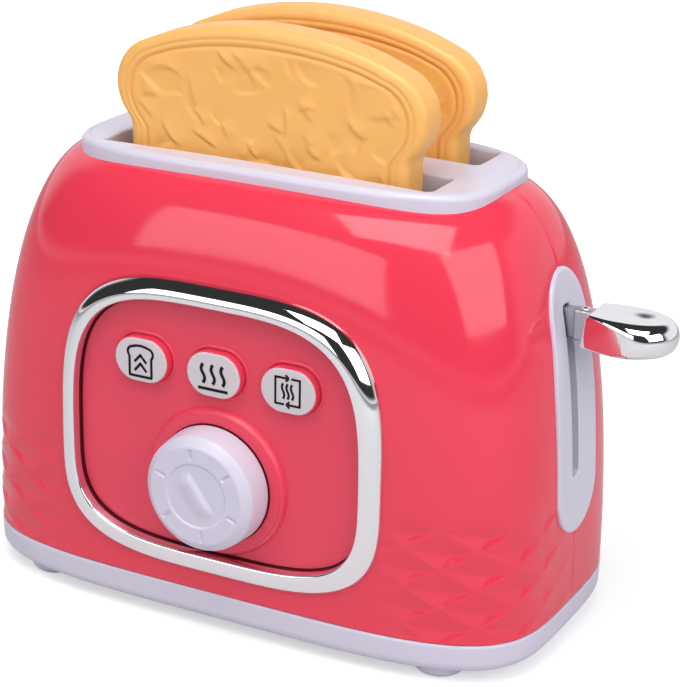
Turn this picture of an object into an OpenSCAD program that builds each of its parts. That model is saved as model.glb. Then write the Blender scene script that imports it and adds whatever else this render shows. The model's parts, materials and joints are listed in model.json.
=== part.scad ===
// Toy pop-up toaster with two play slices, a wind-up dial and three push buttons.
// Frame: millimetres, +Z up, origin on the floor under the middle of the body.
// The control panel faces -Y and the lever stands out on +X.

/* [Body] */
// Width of the body at the base
body_w = 200; // [190:1:215]
// Depth of the body at the base
body_d = 107; // [104:1:116]
// Height of the feet
foot_h = 4; // [3:0.5:6]
// Height of the seam between the base and the shells
base_top = 14; // [13:0.5:17]
// Height where the two shells close
shell_top = 145.5; // [142:0.5:152]
// Width of the flat top of the shells
crest_w = 132; // [124:1:138]
// Depth of the flat top of the shells
crest_d = 60; // [56:1:64]
// Thickness of the shells
wall = 2.2; // [1.8:0.1:2.6]
// Squareness of the body seen from above, at the base
plan_power_low = 4.2; // [3.6:0.1:4.6]
// Squareness of the body seen from above, at the top
plan_power_high = 2.4; // [2.2:0.1:3]

/* [Base] */
// Thickness of the base floor
floor_t = 2.5; // [2:0.1:3]
// Rounding of the lower edge of the base
base_round = 4; // [2:0.5:5]
// Radius of a foot
foot_r = 8.5; // [6:0.5:10]
// Distance of the feet from the middle, sideways
foot_x = 72; // [64:1:76]
// Distance of the feet from the middle, front to back
foot_y = 37.5; // [32:0.5:39]

/* [Top bezel] */
// Length of the bezel
bezel_l = 145; // [141:1:150]
// Width of the bezel
bezel_w = 70; // [67:1:73]
// Height of the middle of the bezel above the floor
bezel_top = 149.5; // [149:0.5:153]
// How much lower the ends of the bezel lie
bezel_crown = 1; // [0.5:0.1:1.5]
// Length of a bread slot
slot_l = 115.6; // [113:0.5:118]
// Width of a bread slot
slot_w = 17.2; // [16:0.2:18]
// Radius of the corners of a bread slot
slot_corner = 2; // [1.5:0.5:4]
// Distance between the middles of the two slots
slot_pitch = 34; // [33:0.5:36]
// Depth of the slot wells below the shells' top
well_depth = 22; // [16:1:26]
// Thickness of the well walls
well_wall = 1.6; // [1.2:0.1:2]

/* [Bread] */
// Width of a slice at its crown
bread_w = 109; // [104:0.5:111]
// Width of a slice at its stem
stem_w = 98; // [94:0.5:100]
// Height of a slice
bread_h = 101; // [97:0.5:105]
// Thickness of a slice
bread_t = 12.8; // [11:0.2:13.6]
// Radius of the crown's corners
crown_r = 13; // [10:0.5:15]
// Height of the crown's widest line below its top
crown_drop = 22; // [20:0.5:24]
// Depth of the crumb below the crust rim
crumb_depth = 0.8; // [0.4:0.1:1.2]
// Width of the crust rim
crust_w = 5; // [4:0.5:7]

/* [Front panel] */
// Half width of the trim ring
ring_half_w = 57.5; // [54:0.5:60]
// Height of the ring's widest line
ring_mid_z = 59.5; // [57:0.5:62]
// Ring height above its widest line
ring_up = 57.5; // [54:0.5:59]
// Ring height below its widest line
ring_down = 38.5; // [36:0.5:40]
// Width of the ring's band
ring_band = 6.5; // [5.5:0.5:7.5]
// Squareness of the ring
ring_power = 3.5; // [3:0.1:4]
// How far the ring stands in front of the panel
ring_proud = 4.8; // [4.2:0.1:6]
// How far the panel's front face lies behind the front of the body
panel_set = 2.3; // [1.9:0.1:2.9]
// Thickness of the panel
panel_t = 2.4; // [2:0.1:3]
// Height of the dial's axis above the floor
dial_z = 52.5; // [51:0.5:54]
// Radius of the raised boss behind the dial
boss_r = 24; // [22:0.5:25]
// Height of that boss
boss_h = 2.4; // [1.6:0.2:3]

/* [Dial and timer] */
// Radius of the dial at its rim
knob_r = 19.6; // [18:0.2:21]
// Radius of the dial's face
knob_face_r = 17.6; // [16:0.2:18]
// Depth of the dial from its back to its face
knob_h = 11; // [9:0.5:13]
// Radius of the dial's shaft
shaft_r = 3; // [2.6:0.1:3.4]
// Turn of the dial from rest to fully wound, in degrees
dial_turn = 300; // [270:5:300]
// Radius of the closed clockwork housing
timer_r = 19; // [17:0.5:20]
// Depth of that housing
timer_h = 10.6; // [10:0.2:13]

/* [Buttons] */
// Distance between the buttons
button_pitch = 26.2; // [25:0.2:28]
// Height of the buttons above the floor
button_z = 89.5; // [88:0.5:91]
// Width of a button cap
button_w = 19.4; // [18:0.2:22.4]
// Height of a button cap
button_hgt = 14.8; // [14:0.2:18]
// How far a cap stands in front of the panel
button_proud = 1.6; // [1.4:0.2:4]
// Travel of a button
button_travel = 1.5; // [1:0.1:2.4]
// Width of the rim round the label on a cap
label_rim = 0.5; // [0.4:0.1:2]
// Thickness of a label
label_t = 0.6; // [0.4:0.1:1]

/* [Lever] */
// Height of the lever's middle above the floor
lever_z = 107; // [105:0.5:109]
// Travel of the lever
lever_travel = 45; // [40:1:46]
// Height of the lever's stem
stem_h = 9.6; // [8:0.2:11]
// Thickness of the lever's stem
stem_t = 4.4; // [3.6:0.2:5]
// Length of the thumb paddle
paddle_l = 28; // [24:1:32]
// Width of the thumb paddle at its tip
paddle_w = 22; // [18:1:24]
// Thickness of the thumb paddle
paddle_t = 11; // [8:0.2:12.4]
// Width of the white guide plate
guide_w = 30; // [26:1:32]
// Height of the lower end of the guide plate
guide_low = 38.5; // [36:0.5:42]
// Height of the upper end of the guide plate
guide_high = 123.5; // [120:0.5:125]
// How far the guide plate stands in front of the shell
guide_proud = 0.8; // [0.4:0.1:1.4]

/* [Carriage] */
// Distance of the guide rods from the ends of a slice's stem
rod_inset = 9; // [5:1:15]
// Radius of a guide rod
rod_r = 2; // [1.5:0.1:2.4]
// Outer radius of a carriage bush
bush_r = 5; // [4.4:0.1:5.4]
// Length of a carriage bush
bush_l = 18; // [14:1:22]
// Thickness of the carriage floor
tray_t = 2; // [1.6:0.1:2.6]
// Height of the lips beside a slice
lip_h = 5; // [3:0.5:8]

/* [Release latch] */
// Swing of the latch while the dial runs, in degrees
latch_swing = 12; // [11:0.5:13]
// Sideways place of the latch pivot from the dial's axis
pivot_x = 24; // [23:0.5:26]
// Height of the latch pivot above the dial's axis
pivot_v = 18; // [17:0.5:19]
// Radius of the latch pivot pin
pivot_r = 1.5; // [1.2:0.1:1.8]
// Thickness of the latch plate and the cam
latch_t = 2.4; // [2:0.1:2.6]
// Smallest radius of the release cam
cam_low_r = 8.2; // [7.6:0.1:8.6]

/* [Springs] */
// Wire of the two lift springs
lift_wire = 1; // [0.8:0.1:1.2]
// Coils of a lift spring
lift_coils = 11; // [8:1:13]
// Wire of the button springs
button_wire = 0.6; // [0.4:0.1:0.7]
// Coils of a button spring
button_coils = 3; // [2:1:4]

/* [Fits] */
// Running clearance of shafts and bushes, on the radius
run_gap = 0.05; // [0.03:0.01:0.08]
// Gap between pieces that slide past each other
slide_gap = 0.4; // [0.3:0.05:0.5]
// Gap between fixed pieces
fit_gap = 0.2; // [0.1:0.05:0.3]
// Radius of a screw's shank
screw_r = 1.4; // [1.2:0.1:1.6]
// Radius of a screw's head
screw_head_r = 2.8; // [2.4:0.1:3]
// Height of a screw's head
screw_head_h = 1.8; // [1.4:0.1:2.2]

/* [Hidden] */

$fn = 48;
coral = [0.91, 0.27, 0.36];
pale = [0.86, 0.84, 0.91];
chrome = [0.78, 0.79, 0.81];
steel = [0.62, 0.63, 0.65];
crumb = [0.95, 0.72, 0.4];
grey = [0.55, 0.55, 0.58];

// How the sides and the front bend in towards the top
side_ease = 2.4;
side_round = 2.8;
front_ease = 4.5;
front_round = 2.9;
bezel_power = 3.6;

shell_rows = 14;
shell_columns = 30;
outline_steps = 72;

floor_top = foot_h + floor_t;
shell_low_w = body_w / 2;
shell_low_d = body_d / 2;
panel_y = shell_low_d - panel_set;
rod_x = stem_w / 2 - rod_inset;

// Heights of the moving stack at rest: the lever is up and the slices stand proud
lever_low = lever_z - stem_h / 2;
lever_high = lever_z + stem_h / 2;
tray_top = lever_z - 18.6;
bread_z = tray_top + slide_gap;
tray_half_l = stem_w / 2 + 1;
tray_gap = bread_t / 2 + slide_gap;
lip_t = 1.2;
tray_front = slot_pitch / 2 + tray_gap + lip_t;

// Depths behind the panel's front face, counted inwards
timer_back = panel_t + timer_h;
spring_space = 3.6;
plate_front = timer_back + spring_space + slide_gap;
plate_back = plate_front + latch_t;
hook_back = plate_back + 4.4;
catch_tip = plate_back + 0.9;

// The latch, worked out with its hook over the carriage's catch
hook_v = tray_top - lever_travel + slide_gap - dial_z;
hook_h = 3.5;
catch_high_x = 13.6;
catch_low_x = 7.8;
hook_tip_x = catch_low_x + 1.8;
nose_r = 2;
nose_x = cam_low_r + slide_gap + nose_r;
nose_rest = swung([nose_x, 0]);
cam_high_r = norm(nose_rest) - nose_r - slide_gap;

button_gap = 0.35;
flange_t = 1.6;
flange_w = 1.4;
retainer_t = 2.2;
button_depth = panel_t + fit_gap + flange_t;
retainer_front = button_depth + 6;
button_pin_r = 2;
retainer_x = button_pitch + 15.5;

guide_flange = 3;
guide_t = wall + 3.9;
guide_slot_w = stem_t + 2 * slide_gap + 0.2;
arm_end = half_w(lever_z) - 4.5;

cap_low = shell_top - 6;
well_low = shell_top - well_depth;
// The wells stand back a little from the slots' edges and have sharper corners
well_ease = 0.6;
well_corner = 1;
// Tabs of the bezel that lie under the shells' edge
tab_out = 3;
tab_t = 2.2;
rod_top = well_low + 12;
rod_seat = floor_top + 1;
boss_top = floor_top + 5.5;
bush_low = tray_top - bush_l + 8;

// Posts for the screws that join the shells, low at the ends and high beside the bezel
low_post = [shell_low_w - 20, base_top + 22];
high_post = [crest_w / 2 + 2, shell_top - 22.5];
shell_posts = [for (p = [low_post, high_post], s = [-1, 1]) [s * p[0], p[1]]];
post_r = 4;
post_head_y = 12;
base_post_x = shell_low_w - 14;
base_post_y = shell_low_d - 29.5;
base_posts = [for (sy = [-1, 1], sx = [-1, 1]) [sx * base_post_x, sy * base_post_y]];
base_post_low = floor_top + 3;
base_post_high = base_top + 14;
timer_ears = [100, 205, 335];
ear_r = 4.2;
ear_ring = timer_r + 3.2;
screw_pilot = screw_r - 0.05;
screw_pass = screw_r + 0.3;
// How far a screw runs in the piece that it holds on to
screw_bite = 10;
// Reach of a cut that runs right through a piece
cut = 40;

// Shapes of the body

function between(v, low, high) = max(low, min(high, v));
function rise(z, top) = between((z - base_top) / (top - base_top), 0, 1);
function eased(t, ease, bend) = pow(1 - pow(t, ease), 1 / bend);
// Half width and half depth of the shell at height z, for a layer that lies inset inside it
function half_w(z, inset = 0) =
  crest_w / 2 + (shell_low_w - crest_w / 2) * eased(rise(z, shell_top - inset), side_ease, side_round) - inset;
function half_d(z, inset = 0) =
  crest_d / 2 + (shell_low_d - crest_d / 2) * eased(rise(z, shell_top - inset), front_ease, front_round) - inset;
function plan_power(z, inset = 0) =
  plan_power_low + (plan_power_high - plan_power_low) * pow(rise(z, shell_top - inset), 2);
// Point of an oval of half sizes a and b at an angle: a higher power is squarer
function oval(a, b, power, angle) =
  let (c = cos(angle), s = sin(angle))
  let (r = pow(pow(abs(c) / a, power) + pow(abs(s) / b, power), -1 / power))
  [r * c, r * s];
// Distance of the shell's front face from the body's middle plane
function front_at(x, z, inset = 0) =
  let (share = between(abs(x) / half_w(z, inset), 0, 0.999))
  half_d(z, inset) * pow(1 - pow(share, plan_power(z, inset)), 1 / plan_power(z, inset));
// Distance of the shell's end from the body's middle, at a depth y
function end_at(y, z, inset = 0) =
  let (share = between(abs(y) / half_d(z, inset), 0, 0.999))
  half_w(z, inset) * pow(1 - pow(share, plan_power(z, inset)), 1 / plan_power(z, inset));
// Heights of the shell's rows, closer together where the shoulder bends
function row_z(i, inset) = base_top + (shell_top - inset - base_top) * sin(90 * i / shell_rows);
function at_height(p, z) = [p[0], p[1], z];
function shell_point(i, angle, inset) =
  let (z = row_z(i, inset))
  at_height(oval(half_w(z, inset), half_d(z, inset), plan_power(z, inset), angle), z);

// Point of the panel's outline, inset from the trim ring's outer edge
function ring_point(angle, inset) =
  oval(ring_half_w - inset, (sin(angle) < 0 ? ring_down : ring_up) - inset, ring_power, angle) + [0, ring_mid_z];
function ring_outline(inset) = [for (k = [0 : outline_steps - 1]) ring_point(360 * k / outline_steps, inset)];
function bezel_outline(inset) =
  [for (k = [0 : outline_steps - 1])
    oval(bezel_l / 2 - inset, bezel_w / 2 - inset, bezel_power, 360 * (k + 0.5) / outline_steps)];

// Place of a latch point once the latch has swung back from the catch
function swung(p) =
  let (d = p - [pivot_x, pivot_v])
  [pivot_x + d[0] * cos(latch_swing) - d[1] * sin(latch_swing),
   pivot_v + d[0] * sin(latch_swing) + d[1] * cos(latch_swing)];
// Radius of the release cam: it falls as the dial is wound, so the latch can close
function cam_radius(angle) =
  angle <= dial_turn ? cam_high_r - (cam_high_r - cam_low_r) * angle / dial_turn
  : angle <= dial_turn + 22 ? cam_low_r
  : cam_low_r + (cam_high_r - cam_low_r) * between((angle - dial_turn - 22) / 20, 0, 1);

// Helpers

function flat(rows) = [for (row = rows) for (p = row) p];

// Closed solid through a list of point loops, with flat ends unless the list closes on itself.
// A folded loop runs out along one side and back along the other, so its ends are strips of quads.
module skin(loops, closed = false, folded = false) {
  n = len(loops[0]);
  m = len(loops);
  last = closed ? m - 1 : m - 2;
  sides = [
    for (i = [0 : last]) for (j = [0 : n - 1])
      let (a = i * n + j, b = i * n + (j + 1) % n)
      let (c = ((i + 1) % m) * n + (j + 1) % n, d = ((i + 1) % m) * n + j)
      each [[a, c, b], [a, d, c]]
  ];
  end = folded ? [for (j = [0 : n / 2 - 2]) [j, j + 1, n - 2 - j, n - 1 - j]] : [[for (j = [0 : n - 1]) j]];
  ends = closed ? [] : concat(end, [for (face = end) [for (j = [len(face) - 1 : -1 : 0]) face[j] + (m - 1) * n]]);
  polyhedron(flat(loops), concat(sides, ends), convexity = 10);
}

// Moves a drawing from the panel's plane to the front of the body: x stays, y is up, z comes forward
module on_panel(v = 0) {
  translate([0, -panel_y, v])
    rotate([90, 0, 0])
      children();
}

// Upright drawing x, z turned so that its thickness runs along +Y from y
module upright(y) {
  translate([0, y, 0])
    rotate([90, 0, 0])
      mirror([0, 0, 1])
        children();
}

// Drawing in y, z whose thickness runs along +X from x
module sideways(x) {
  translate([x, 0, 0])
    rotate([90, 0, 90])
      children();
}

module stadium(l, w) {
  hull() {
    for (s = [-1, 1])
      translate([s * (l - w) / 2, 0])
        circle(d = w);
  }
}

module rounded(l, w, r) {
  offset(r = r)
    square([l - 2 * r, w - 2 * r], center = true);
}

// Screw with its head's underside at the origin and its shank along +Z
module screw(length) {
  translate([0, 0, -screw_head_h])
    difference() {
      cylinder(r = screw_head_r, h = screw_head_h);
      for (turn = [0, 90])
        rotate(turn)
          translate([0, 0, 0.3])
            cube([3, 0.7, 1.2], center = true);
    }
  cylinder(r = screw_r, h = length);
}

// Points of a coil of round wire about +Z, from z = low to z = high
function coil_axis(r, low, high, coils, steps) =
  [for (k = [0 : coils * steps])
    [r * cos(360 * k / steps), r * sin(360 * k / steps), low + (high - low) * k / (coils * steps)]];
function coil_loop(r, wire, low, high, coils, steps, sides, k) =
  let (turn = 360 * k / steps, p = coil_axis(r, low, high, coils, steps)[k])
  [for (s = [0 : sides - 1])
    let (out = r + wire / 2 * cos(360 * s / sides))
    [out * cos(turn), out * sin(turn), p[2] + wire / 2 * sin(360 * s / sides)]];
function coil_gap(r, wire, low, high, coils, steps) =
  let (axis = coil_axis(r, low, high, coils, steps))
  min([for (k = [0 : len(axis) - 1 - steps]) norm(axis[k + steps] - axis[k]) - wire]);

module coil(r, wire, low, high, coils, label) {
  steps = 8;
  sides = 6;
  echo(label, least_gap = coil_gap(r, wire, low + wire / 2, high - wire / 2, coils, steps));
  skin([for (k = [0 : coils * steps])
    coil_loop(r, wire, low + wire / 2, high - wire / 2, coils, steps, sides, k)]);
}

// Shells

// One half of the shell, as a skin of constant wall: turn 180 gives the front, 0 the rear
module half_shell(turn) {
  seam_turn = asin(fit_gap / body_w);
  skin([
    for (j = [0 : shell_columns])
      let (angle = turn + 180 - seam_turn - (180 - 2 * seam_turn) * j / shell_columns)
      concat(
        [for (i = [0 : shell_rows]) shell_point(i, angle, 0)],
        [for (i = [shell_rows : -1 : 0]) shell_point(i, angle, wall)]
      )
  ], folded = true);
}

// Space that the bezel, the guide plate and its flange take out of the shells
module shell_openings() {
  translate([0, 0, shell_top - 12])
    linear_extrude(cut)
      polygon(bezel_outline(-fit_gap));
  sideways(half_w(guide_high) - 12)
    linear_extrude(body_w / 2)
      translate([0, (guide_low + guide_high) / 2])
        rotate(90)
          stadium(guide_high - guide_low + 2 * fit_gap, guide_w + 2 * fit_gap);
}

// Posts along Y that the shell screws run in, from the wall of one half to the seam
module shell_post_solids(side) {
  for (p = shell_posts)
    let (reach = front_at(abs(p[0]) + 0.7 * post_r, p[1] + 0.7 * post_r) - 0.8)
    translate([p[0], side > 0 ? fit_gap / 2 : -reach, p[1]])
      rotate([-90, 0, 0])
        cylinder(r = post_r, h = reach - fit_gap / 2);
}

// Posts that stand on the base bosses, with a rib to the shell's end
module base_post_solids(side) {
  for (p = base_posts)
    if (p[1] * side > 0)
      let (reach = end_at(p[1], base_post_high) - wall / 2 - abs(p[0])) {
        translate([p[0], p[1], base_post_low])
          cylinder(r = post_r, h = base_post_high - base_post_low);
        translate([p[0] > 0 ? p[0] : p[0] - reach, p[1] - 1.2, base_top + fit_gap])
          cube([reach, 2.4, base_post_high - base_top - fit_gap]);
      }
}

module base_post_holes() {
  for (p = base_posts)
    translate([p[0], p[1], base_post_low - 1])
      cylinder(r = screw_pilot, h = 12);
}

module front_shell() {
  color(coral)
    difference() {
      union() {
        half_shell(180);
        shell_post_solids(-1);
        base_post_solids(-1);
      }
      shell_openings();
      upright(-body_d)
        linear_extrude(body_d - panel_y + 14)
          polygon(ring_outline(ring_band / 2));
      upright(-panel_y + panel_t - fit_gap / 2)
        linear_extrude(8)
          polygon(ring_outline(0.3));
      for (p = shell_posts)
        translate([p[0], -screw_bite - 4, p[1]])
          rotate([-90, 0, 0])
            cylinder(r = screw_pilot, h = cut / 2);
      base_post_holes();
    }
}

module rear_shell() {
  color(coral)
    difference() {
      union() {
        half_shell(0);
        shell_post_solids(1);
        base_post_solids(1);
      }
      shell_openings();
      for (p = shell_posts)
        translate([p[0], -1, p[1]])
          rotate([-90, 0, 0]) {
            cylinder(r = screw_pass, h = cut);
            translate([0, 0, post_head_y + 1])
              cylinder(r = screw_head_r + 0.3, h = body_d);
          }
      base_post_holes();
    }
}

// Base

function base_loop(inset, z) =
  [for (k = [0 : outline_steps - 1])
    at_height(oval(shell_low_w - inset, shell_low_d - inset, plan_power_low, 360 * k / outline_steps), z)];

module base_tray() {
  color(pale)
    difference() {
      union() {
        difference() {
          skin(concat(
            [for (a = [0 : 22.5 : 90])
              base_loop(base_round * (1 - sin(a)) * 0.9 + 0.2, foot_h + base_round * (1 - cos(a)))],
            [base_loop(0, base_top)]
          ));
          translate([0, 0, floor_top])
            linear_extrude(base_top)
              polygon([for (p = base_loop(wall + 0.3, 0)) [p[0], p[1]]]);
        }
        for (p = base_posts)
          translate([p[0], p[1], foot_h + 0.5])
            cylinder(r = post_r + 1.2, h = base_post_low - foot_h - 0.5);
        for (s = [-1, 1])
          translate([s * rod_x, 0, foot_h + 0.5])
            cylinder(r = bush_r, h = boss_top - foot_h - 0.5);
      }
      for (p = base_posts)
        translate([p[0], p[1], foot_h - 1]) {
          cylinder(r = screw_pass, h = 20);
          cylinder(r = screw_head_r + 0.4, h = screw_head_h + 1.4);
        }
      for (s = [-1, 1])
        translate([s * rod_x, 0, rod_seat])
          cylinder(r = rod_r + run_gap, h = 20);
    }
}

module feet() {
  dome = foot_h * 0.55;
  color(pale)
    for (sx = [-1, 1], sy = [-1, 1])
      translate([sx * foot_x, sy * foot_y, 0])
        rotate_extrude()
          polygon(concat(
            [[0, foot_h], [0, 0], [foot_r - dome, 0]],
            [for (a = [15 : 15 : 90]) [foot_r - dome + dome * sin(a), dome - dome * cos(a)]],
            [[foot_r, foot_h]]
          ));
}

// Bezel

// Two upright columns, one in each slot's place, that lie out beyond the slot's edge
module slot_columns(low, high, out, corner) {
  for (s = [-1, 1])
    translate([0, s * slot_pitch / 2, low])
      linear_extrude(high - low)
        rounded(slot_l + 2 * out, slot_w + 2 * out, corner);
}

module top_bezel() {
  color(pale)
    difference() {
      union() {
        intersection() {
          translate([0, 0, cap_low])
            linear_extrude(cut)
              polygon(bezel_outline(0));
          upright(-body_d)
            linear_extrude(2 * body_d)
              polygon(concat(
                [[bezel_l, cap_low - 1], [-bezel_l, cap_low - 1]],
                [for (k = [-8 : 8]) [k * bezel_l / 16, bezel_top - bezel_crown * pow(k / 8, 2)]]
              ));
        }
        slot_columns(well_low, shell_top, well_ease + well_wall, well_corner + well_wall);
        for (s = [-1, 1])
          translate([s * rod_x, 0, well_low])
            cylinder(r = bush_r, h = well_depth);
        for (s = [-1, 1]) {
          translate([s * bezel_l / 2, 0, cap_low + tab_t / 2 - 1.8])
            cube([2 * tab_out, 16, tab_t], center = true);
          translate([0, s * bezel_w / 2, cap_low + tab_t / 2 - 1.8])
            cube([36, 2 * tab_out, tab_t], center = true);
        }
      }
      slot_columns(well_low - 1, cap_low + 2, well_ease, well_corner);
      slot_columns(well_low - 1, shell_top + cut, 0, slot_corner);
      for (s = [-1, 1])
        translate([s * rod_x, 0, well_low - 1])
          cylinder(r = rod_r + run_gap, h = rod_top + 1 - well_low);
    }
}

// Front panel

// Ring cross-section at one angle: the foot follows the shell, the crest lies level near the inner edge
function ring_loop(angle) =
  let (foot = [for (d = [0, ring_band / 2 + fit_gap])
    let (p = ring_point(angle, d)) max(front_at(p[0], p[1]) - panel_y, -2.2) + fit_gap / 2])
  let (slope = [[0, 0], [0.3, 0.36], [1.2, 0.62], [2.8, 0.86], [ring_band - 1.9, 0.98], [ring_band - 0.8, 1]])
  let (section = [
    each [for (q = slope) [q[0], foot[0] + (ring_proud - foot[0]) * q[1]]],
    [ring_band - 0.2, ring_proud - 0.35],
    [ring_band, ring_proud - 0.9],
    [ring_band, fit_gap],
    [ring_band / 2 + fit_gap, fit_gap],
    [ring_band / 2 + fit_gap, foot[1]]
  ])
  [for (q = section)
    let (p = ring_point(angle, q[0]))
    [p[0], -panel_y - q[1], p[1]]];

ring_studs = [40, 140, 222, 318];
stud_r = 1.2;

module stud_axes() {
  for (angle = ring_studs)
    let (p = ring_point(angle, ring_band * 0.78))
    translate([p[0], 0, p[1]])
      rotate([90, 0, 0])
        children();
}

module trim_ring() {
  color(chrome) {
    skin([for (k = [0 : outline_steps - 1]) ring_loop(-360 * k / outline_steps)], closed = true);
    stud_axes()
      translate([0, 0, panel_y - panel_t - 3])
        cylinder(r = stud_r, h = panel_t + 4);
  }
}

module button_places() {
  for (i = [-1, 0, 1])
    translate([i * button_pitch, button_z])
      children();
}

module control_panel() {
  color(coral)
    difference() {
      union() {
        upright(-panel_y)
          linear_extrude(panel_t)
            polygon(ring_outline(ring_band / 2 + fit_gap));
        upright(-panel_y + panel_t)
          linear_extrude(1.6)
            difference() {
              polygon(ring_outline(0.6));
              polygon(ring_outline(ring_band + 1.5));
            }
        on_panel(dial_z)
          cylinder(r1 = boss_r, r2 = boss_r - 0.8, h = boss_h);
        for (s = [-1, 1])
          translate([s * retainer_x, -panel_y + panel_t - 0.01, button_z])
            rotate([-90, 0, 0])
              cylinder(r = 3.2, h = retainer_front - panel_t + 0.01);
      }
      on_panel(dial_z)
        translate([0, 0, -cut / 2])
          cylinder(r = shaft_r + run_gap, h = cut);
      on_panel()
        translate([0, 0, -cut / 2])
          linear_extrude(cut)
            button_places()
              stadium(button_w + 2 * button_gap, button_hgt + 2 * button_gap);
      stud_axes()
        translate([0, 0, panel_y - cut / 2])
          cylinder(r = stud_r + fit_gap, h = cut);
      for (s = [-1, 1])
        translate([s * retainer_x, -panel_y + panel_t + 1.2, button_z])
          rotate([-90, 0, 0])
            cylinder(r = screw_pilot, h = cut);
      timer_ear_axes()
        translate([0, 0, -panel_t - 1])
          cylinder(r = screw_pilot, h = panel_t + boss_h - 0.2);
    }
}

// Dial and timer

module timer_knob() {
  back = boss_h + slide_gap;
  face = back + knob_h;
  color(pale)
    on_panel(dial_z)
      difference() {
        union() {
          rotate_extrude()
            polygon([
              [0, back], [knob_r - 0.6, back], [knob_r, back + 0.6], [knob_r, back + 2],
              [min(knob_face_r + 1, knob_r - 0.4), face - 1.5], [knob_face_r - 2, face],
              [knob_face_r - 6, face], [knob_face_r - 6.6, face - 0.8], [0, face - 0.8]
            ]);
          translate([0, 0, face - 1])
            rotate(115)
              linear_extrude(2.4)
                stadium(knob_face_r * 1.15, 5.6);
        }
        translate([0, 0, back - 1])
          cylinder(r = shaft_r, h = knob_h - 2.6 + 1);
      }
}

module dial_shaft() {
  color(steel)
    on_panel(dial_z)
      translate([0, 0, -plate_back - 0.4])
        cylinder(r = shaft_r, h = plate_back + 0.4 + boss_h + slide_gap + knob_h - 2.8);
}

module release_cam() {
  color(grey)
    on_panel(dial_z)
      translate([0, 0, -plate_back])
        linear_extrude(latch_t)
          difference() {
            polygon([for (a = [0 : 5 : 355]) cam_radius(a) * [cos(a), sin(a)]]);
            circle(r = shaft_r);
          }
}

module timer_ear_axes() {
  for (a = timer_ears)
    on_panel(dial_z)
      translate([ear_ring * cos(a), ear_ring * sin(a), 0])
        children();
}

module timer_housing() {
  color(grey)
    difference() {
      union() {
        on_panel(dial_z)
          translate([0, 0, -timer_back])
            cylinder(r = timer_r, h = timer_h);
        timer_ear_axes()
          translate([0, 0, -panel_t - 3])
            cylinder(r = ear_r, h = 3);
        on_panel(dial_z)
          translate([0, 0, -timer_back])
            linear_extrude(5)
              hull() {
                translate([pivot_x, pivot_v])
                  circle(r = pivot_r + 3);
                translate([pivot_x, pivot_v] / 2)
                  circle(r = pivot_r + 3);
              }
      }
      on_panel(dial_z)
        translate([0, 0, -cut])
          cylinder(r = shaft_r + run_gap, h = 2 * cut);
      on_panel(dial_z)
        translate([pivot_x, pivot_v, -timer_back - 1])
          cylinder(r = pivot_r, h = 5);
      timer_ear_axes()
        translate([0, 0, -cut / 2])
          cylinder(r = screw_pass, h = cut);
    }
}

// Latch plate drawn with its hook closed, then swung back to rest
module latch_lever() {
  color(steel)
    on_panel(dial_z)
      translate([pivot_x, pivot_v])
        rotate(latch_swing)
          translate([-pivot_x, -pivot_v])
            difference() {
              union() {
                translate([0, 0, -plate_back])
                  linear_extrude(latch_t)
                    latch_outline();
                translate([0, 0, -hook_back])
                  linear_extrude(hook_back - plate_front)
                    translate([hook_tip_x, hook_v])
                      square([pivot_x + 3 - hook_tip_x, hook_h]);
              }
              translate([pivot_x, pivot_v, -cut])
                cylinder(r = pivot_r + run_gap, h = 2 * cut);
            }
}

module latch_outline() {
  hull() {
    translate([pivot_x, pivot_v])
      circle(r = pivot_r + 3);
    translate([pivot_x - 3, hook_v])
      square([6, 1]);
  }
  hull() {
    translate([nose_x, 0])
      circle(r = nose_r);
    translate([pivot_x - 2, -nose_r])
      square([2, 2 * nose_r]);
  }
}

module latch_pin() {
  color(steel)
    on_panel(dial_z)
      translate([pivot_x, pivot_v, 0]) {
        translate([0, 0, -plate_back - slide_gap])
          cylinder(r = pivot_r, h = plate_back + slide_gap - timer_back + 4);
        translate([0, 0, -plate_back - slide_gap - 1.2])
          cylinder(r = pivot_r + 1.2, h = 1.2);
      }
}

module latch_spring() {
  color(steel)
    on_panel(dial_z)
      translate([pivot_x, pivot_v, 0])
        coil(pivot_r + 1.3, 0.5, -plate_front + fit_gap, -timer_back - fit_gap, 3, "latch_spring");
}

// Buttons

module button(i) {
  color(coral)
    on_panel()
      translate([i * button_pitch, button_z, 0]) {
        difference() {
          translate([0, 0, -panel_t - fit_gap - 0.01])
            linear_extrude(button_proud + panel_t + fit_gap + 0.01)
              stadium(button_w, button_hgt);
          translate([0, 0, button_proud - label_t / 2])
            linear_extrude(5)
              stadium(button_w - 2 * label_rim, button_hgt - 2 * label_rim);
        }
        translate([0, 0, -button_depth])
          linear_extrude(flange_t)
            stadium(button_w + 2 * flange_w, button_hgt + 2 * flange_w);
        translate([0, 0, -retainer_front - retainer_t - 0.6])
          cylinder(r = button_pin_r, h = retainer_front + retainer_t + 0.6 - button_depth + 0.01);
      }
}

module button_label(i) {
  color(pale)
    on_panel()
      translate([i * button_pitch, button_z, button_proud - label_t / 2])
        linear_extrude(label_t)
          stadium(button_w - 2 * label_rim - 0.1, button_hgt - 2 * label_rim - 0.1);
}

module button_spring(i) {
  color(steel)
    on_panel()
      translate([i * button_pitch, button_z, 0])
        coil(button_pin_r + 1.5, button_wire, -retainer_front + fit_gap, -button_depth - fit_gap, button_coils,
          "button_spring");
}

module button_left() { button(-1); }
module button_middle() { button(0); }
module button_right() { button(1); }
module button_label_left() { button_label(-1); }
module button_label_middle() { button_label(0); }
module button_label_right() { button_label(1); }
module button_spring_left() { button_spring(-1); }
module button_spring_middle() { button_spring(0); }
module button_spring_right() { button_spring(1); }

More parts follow.
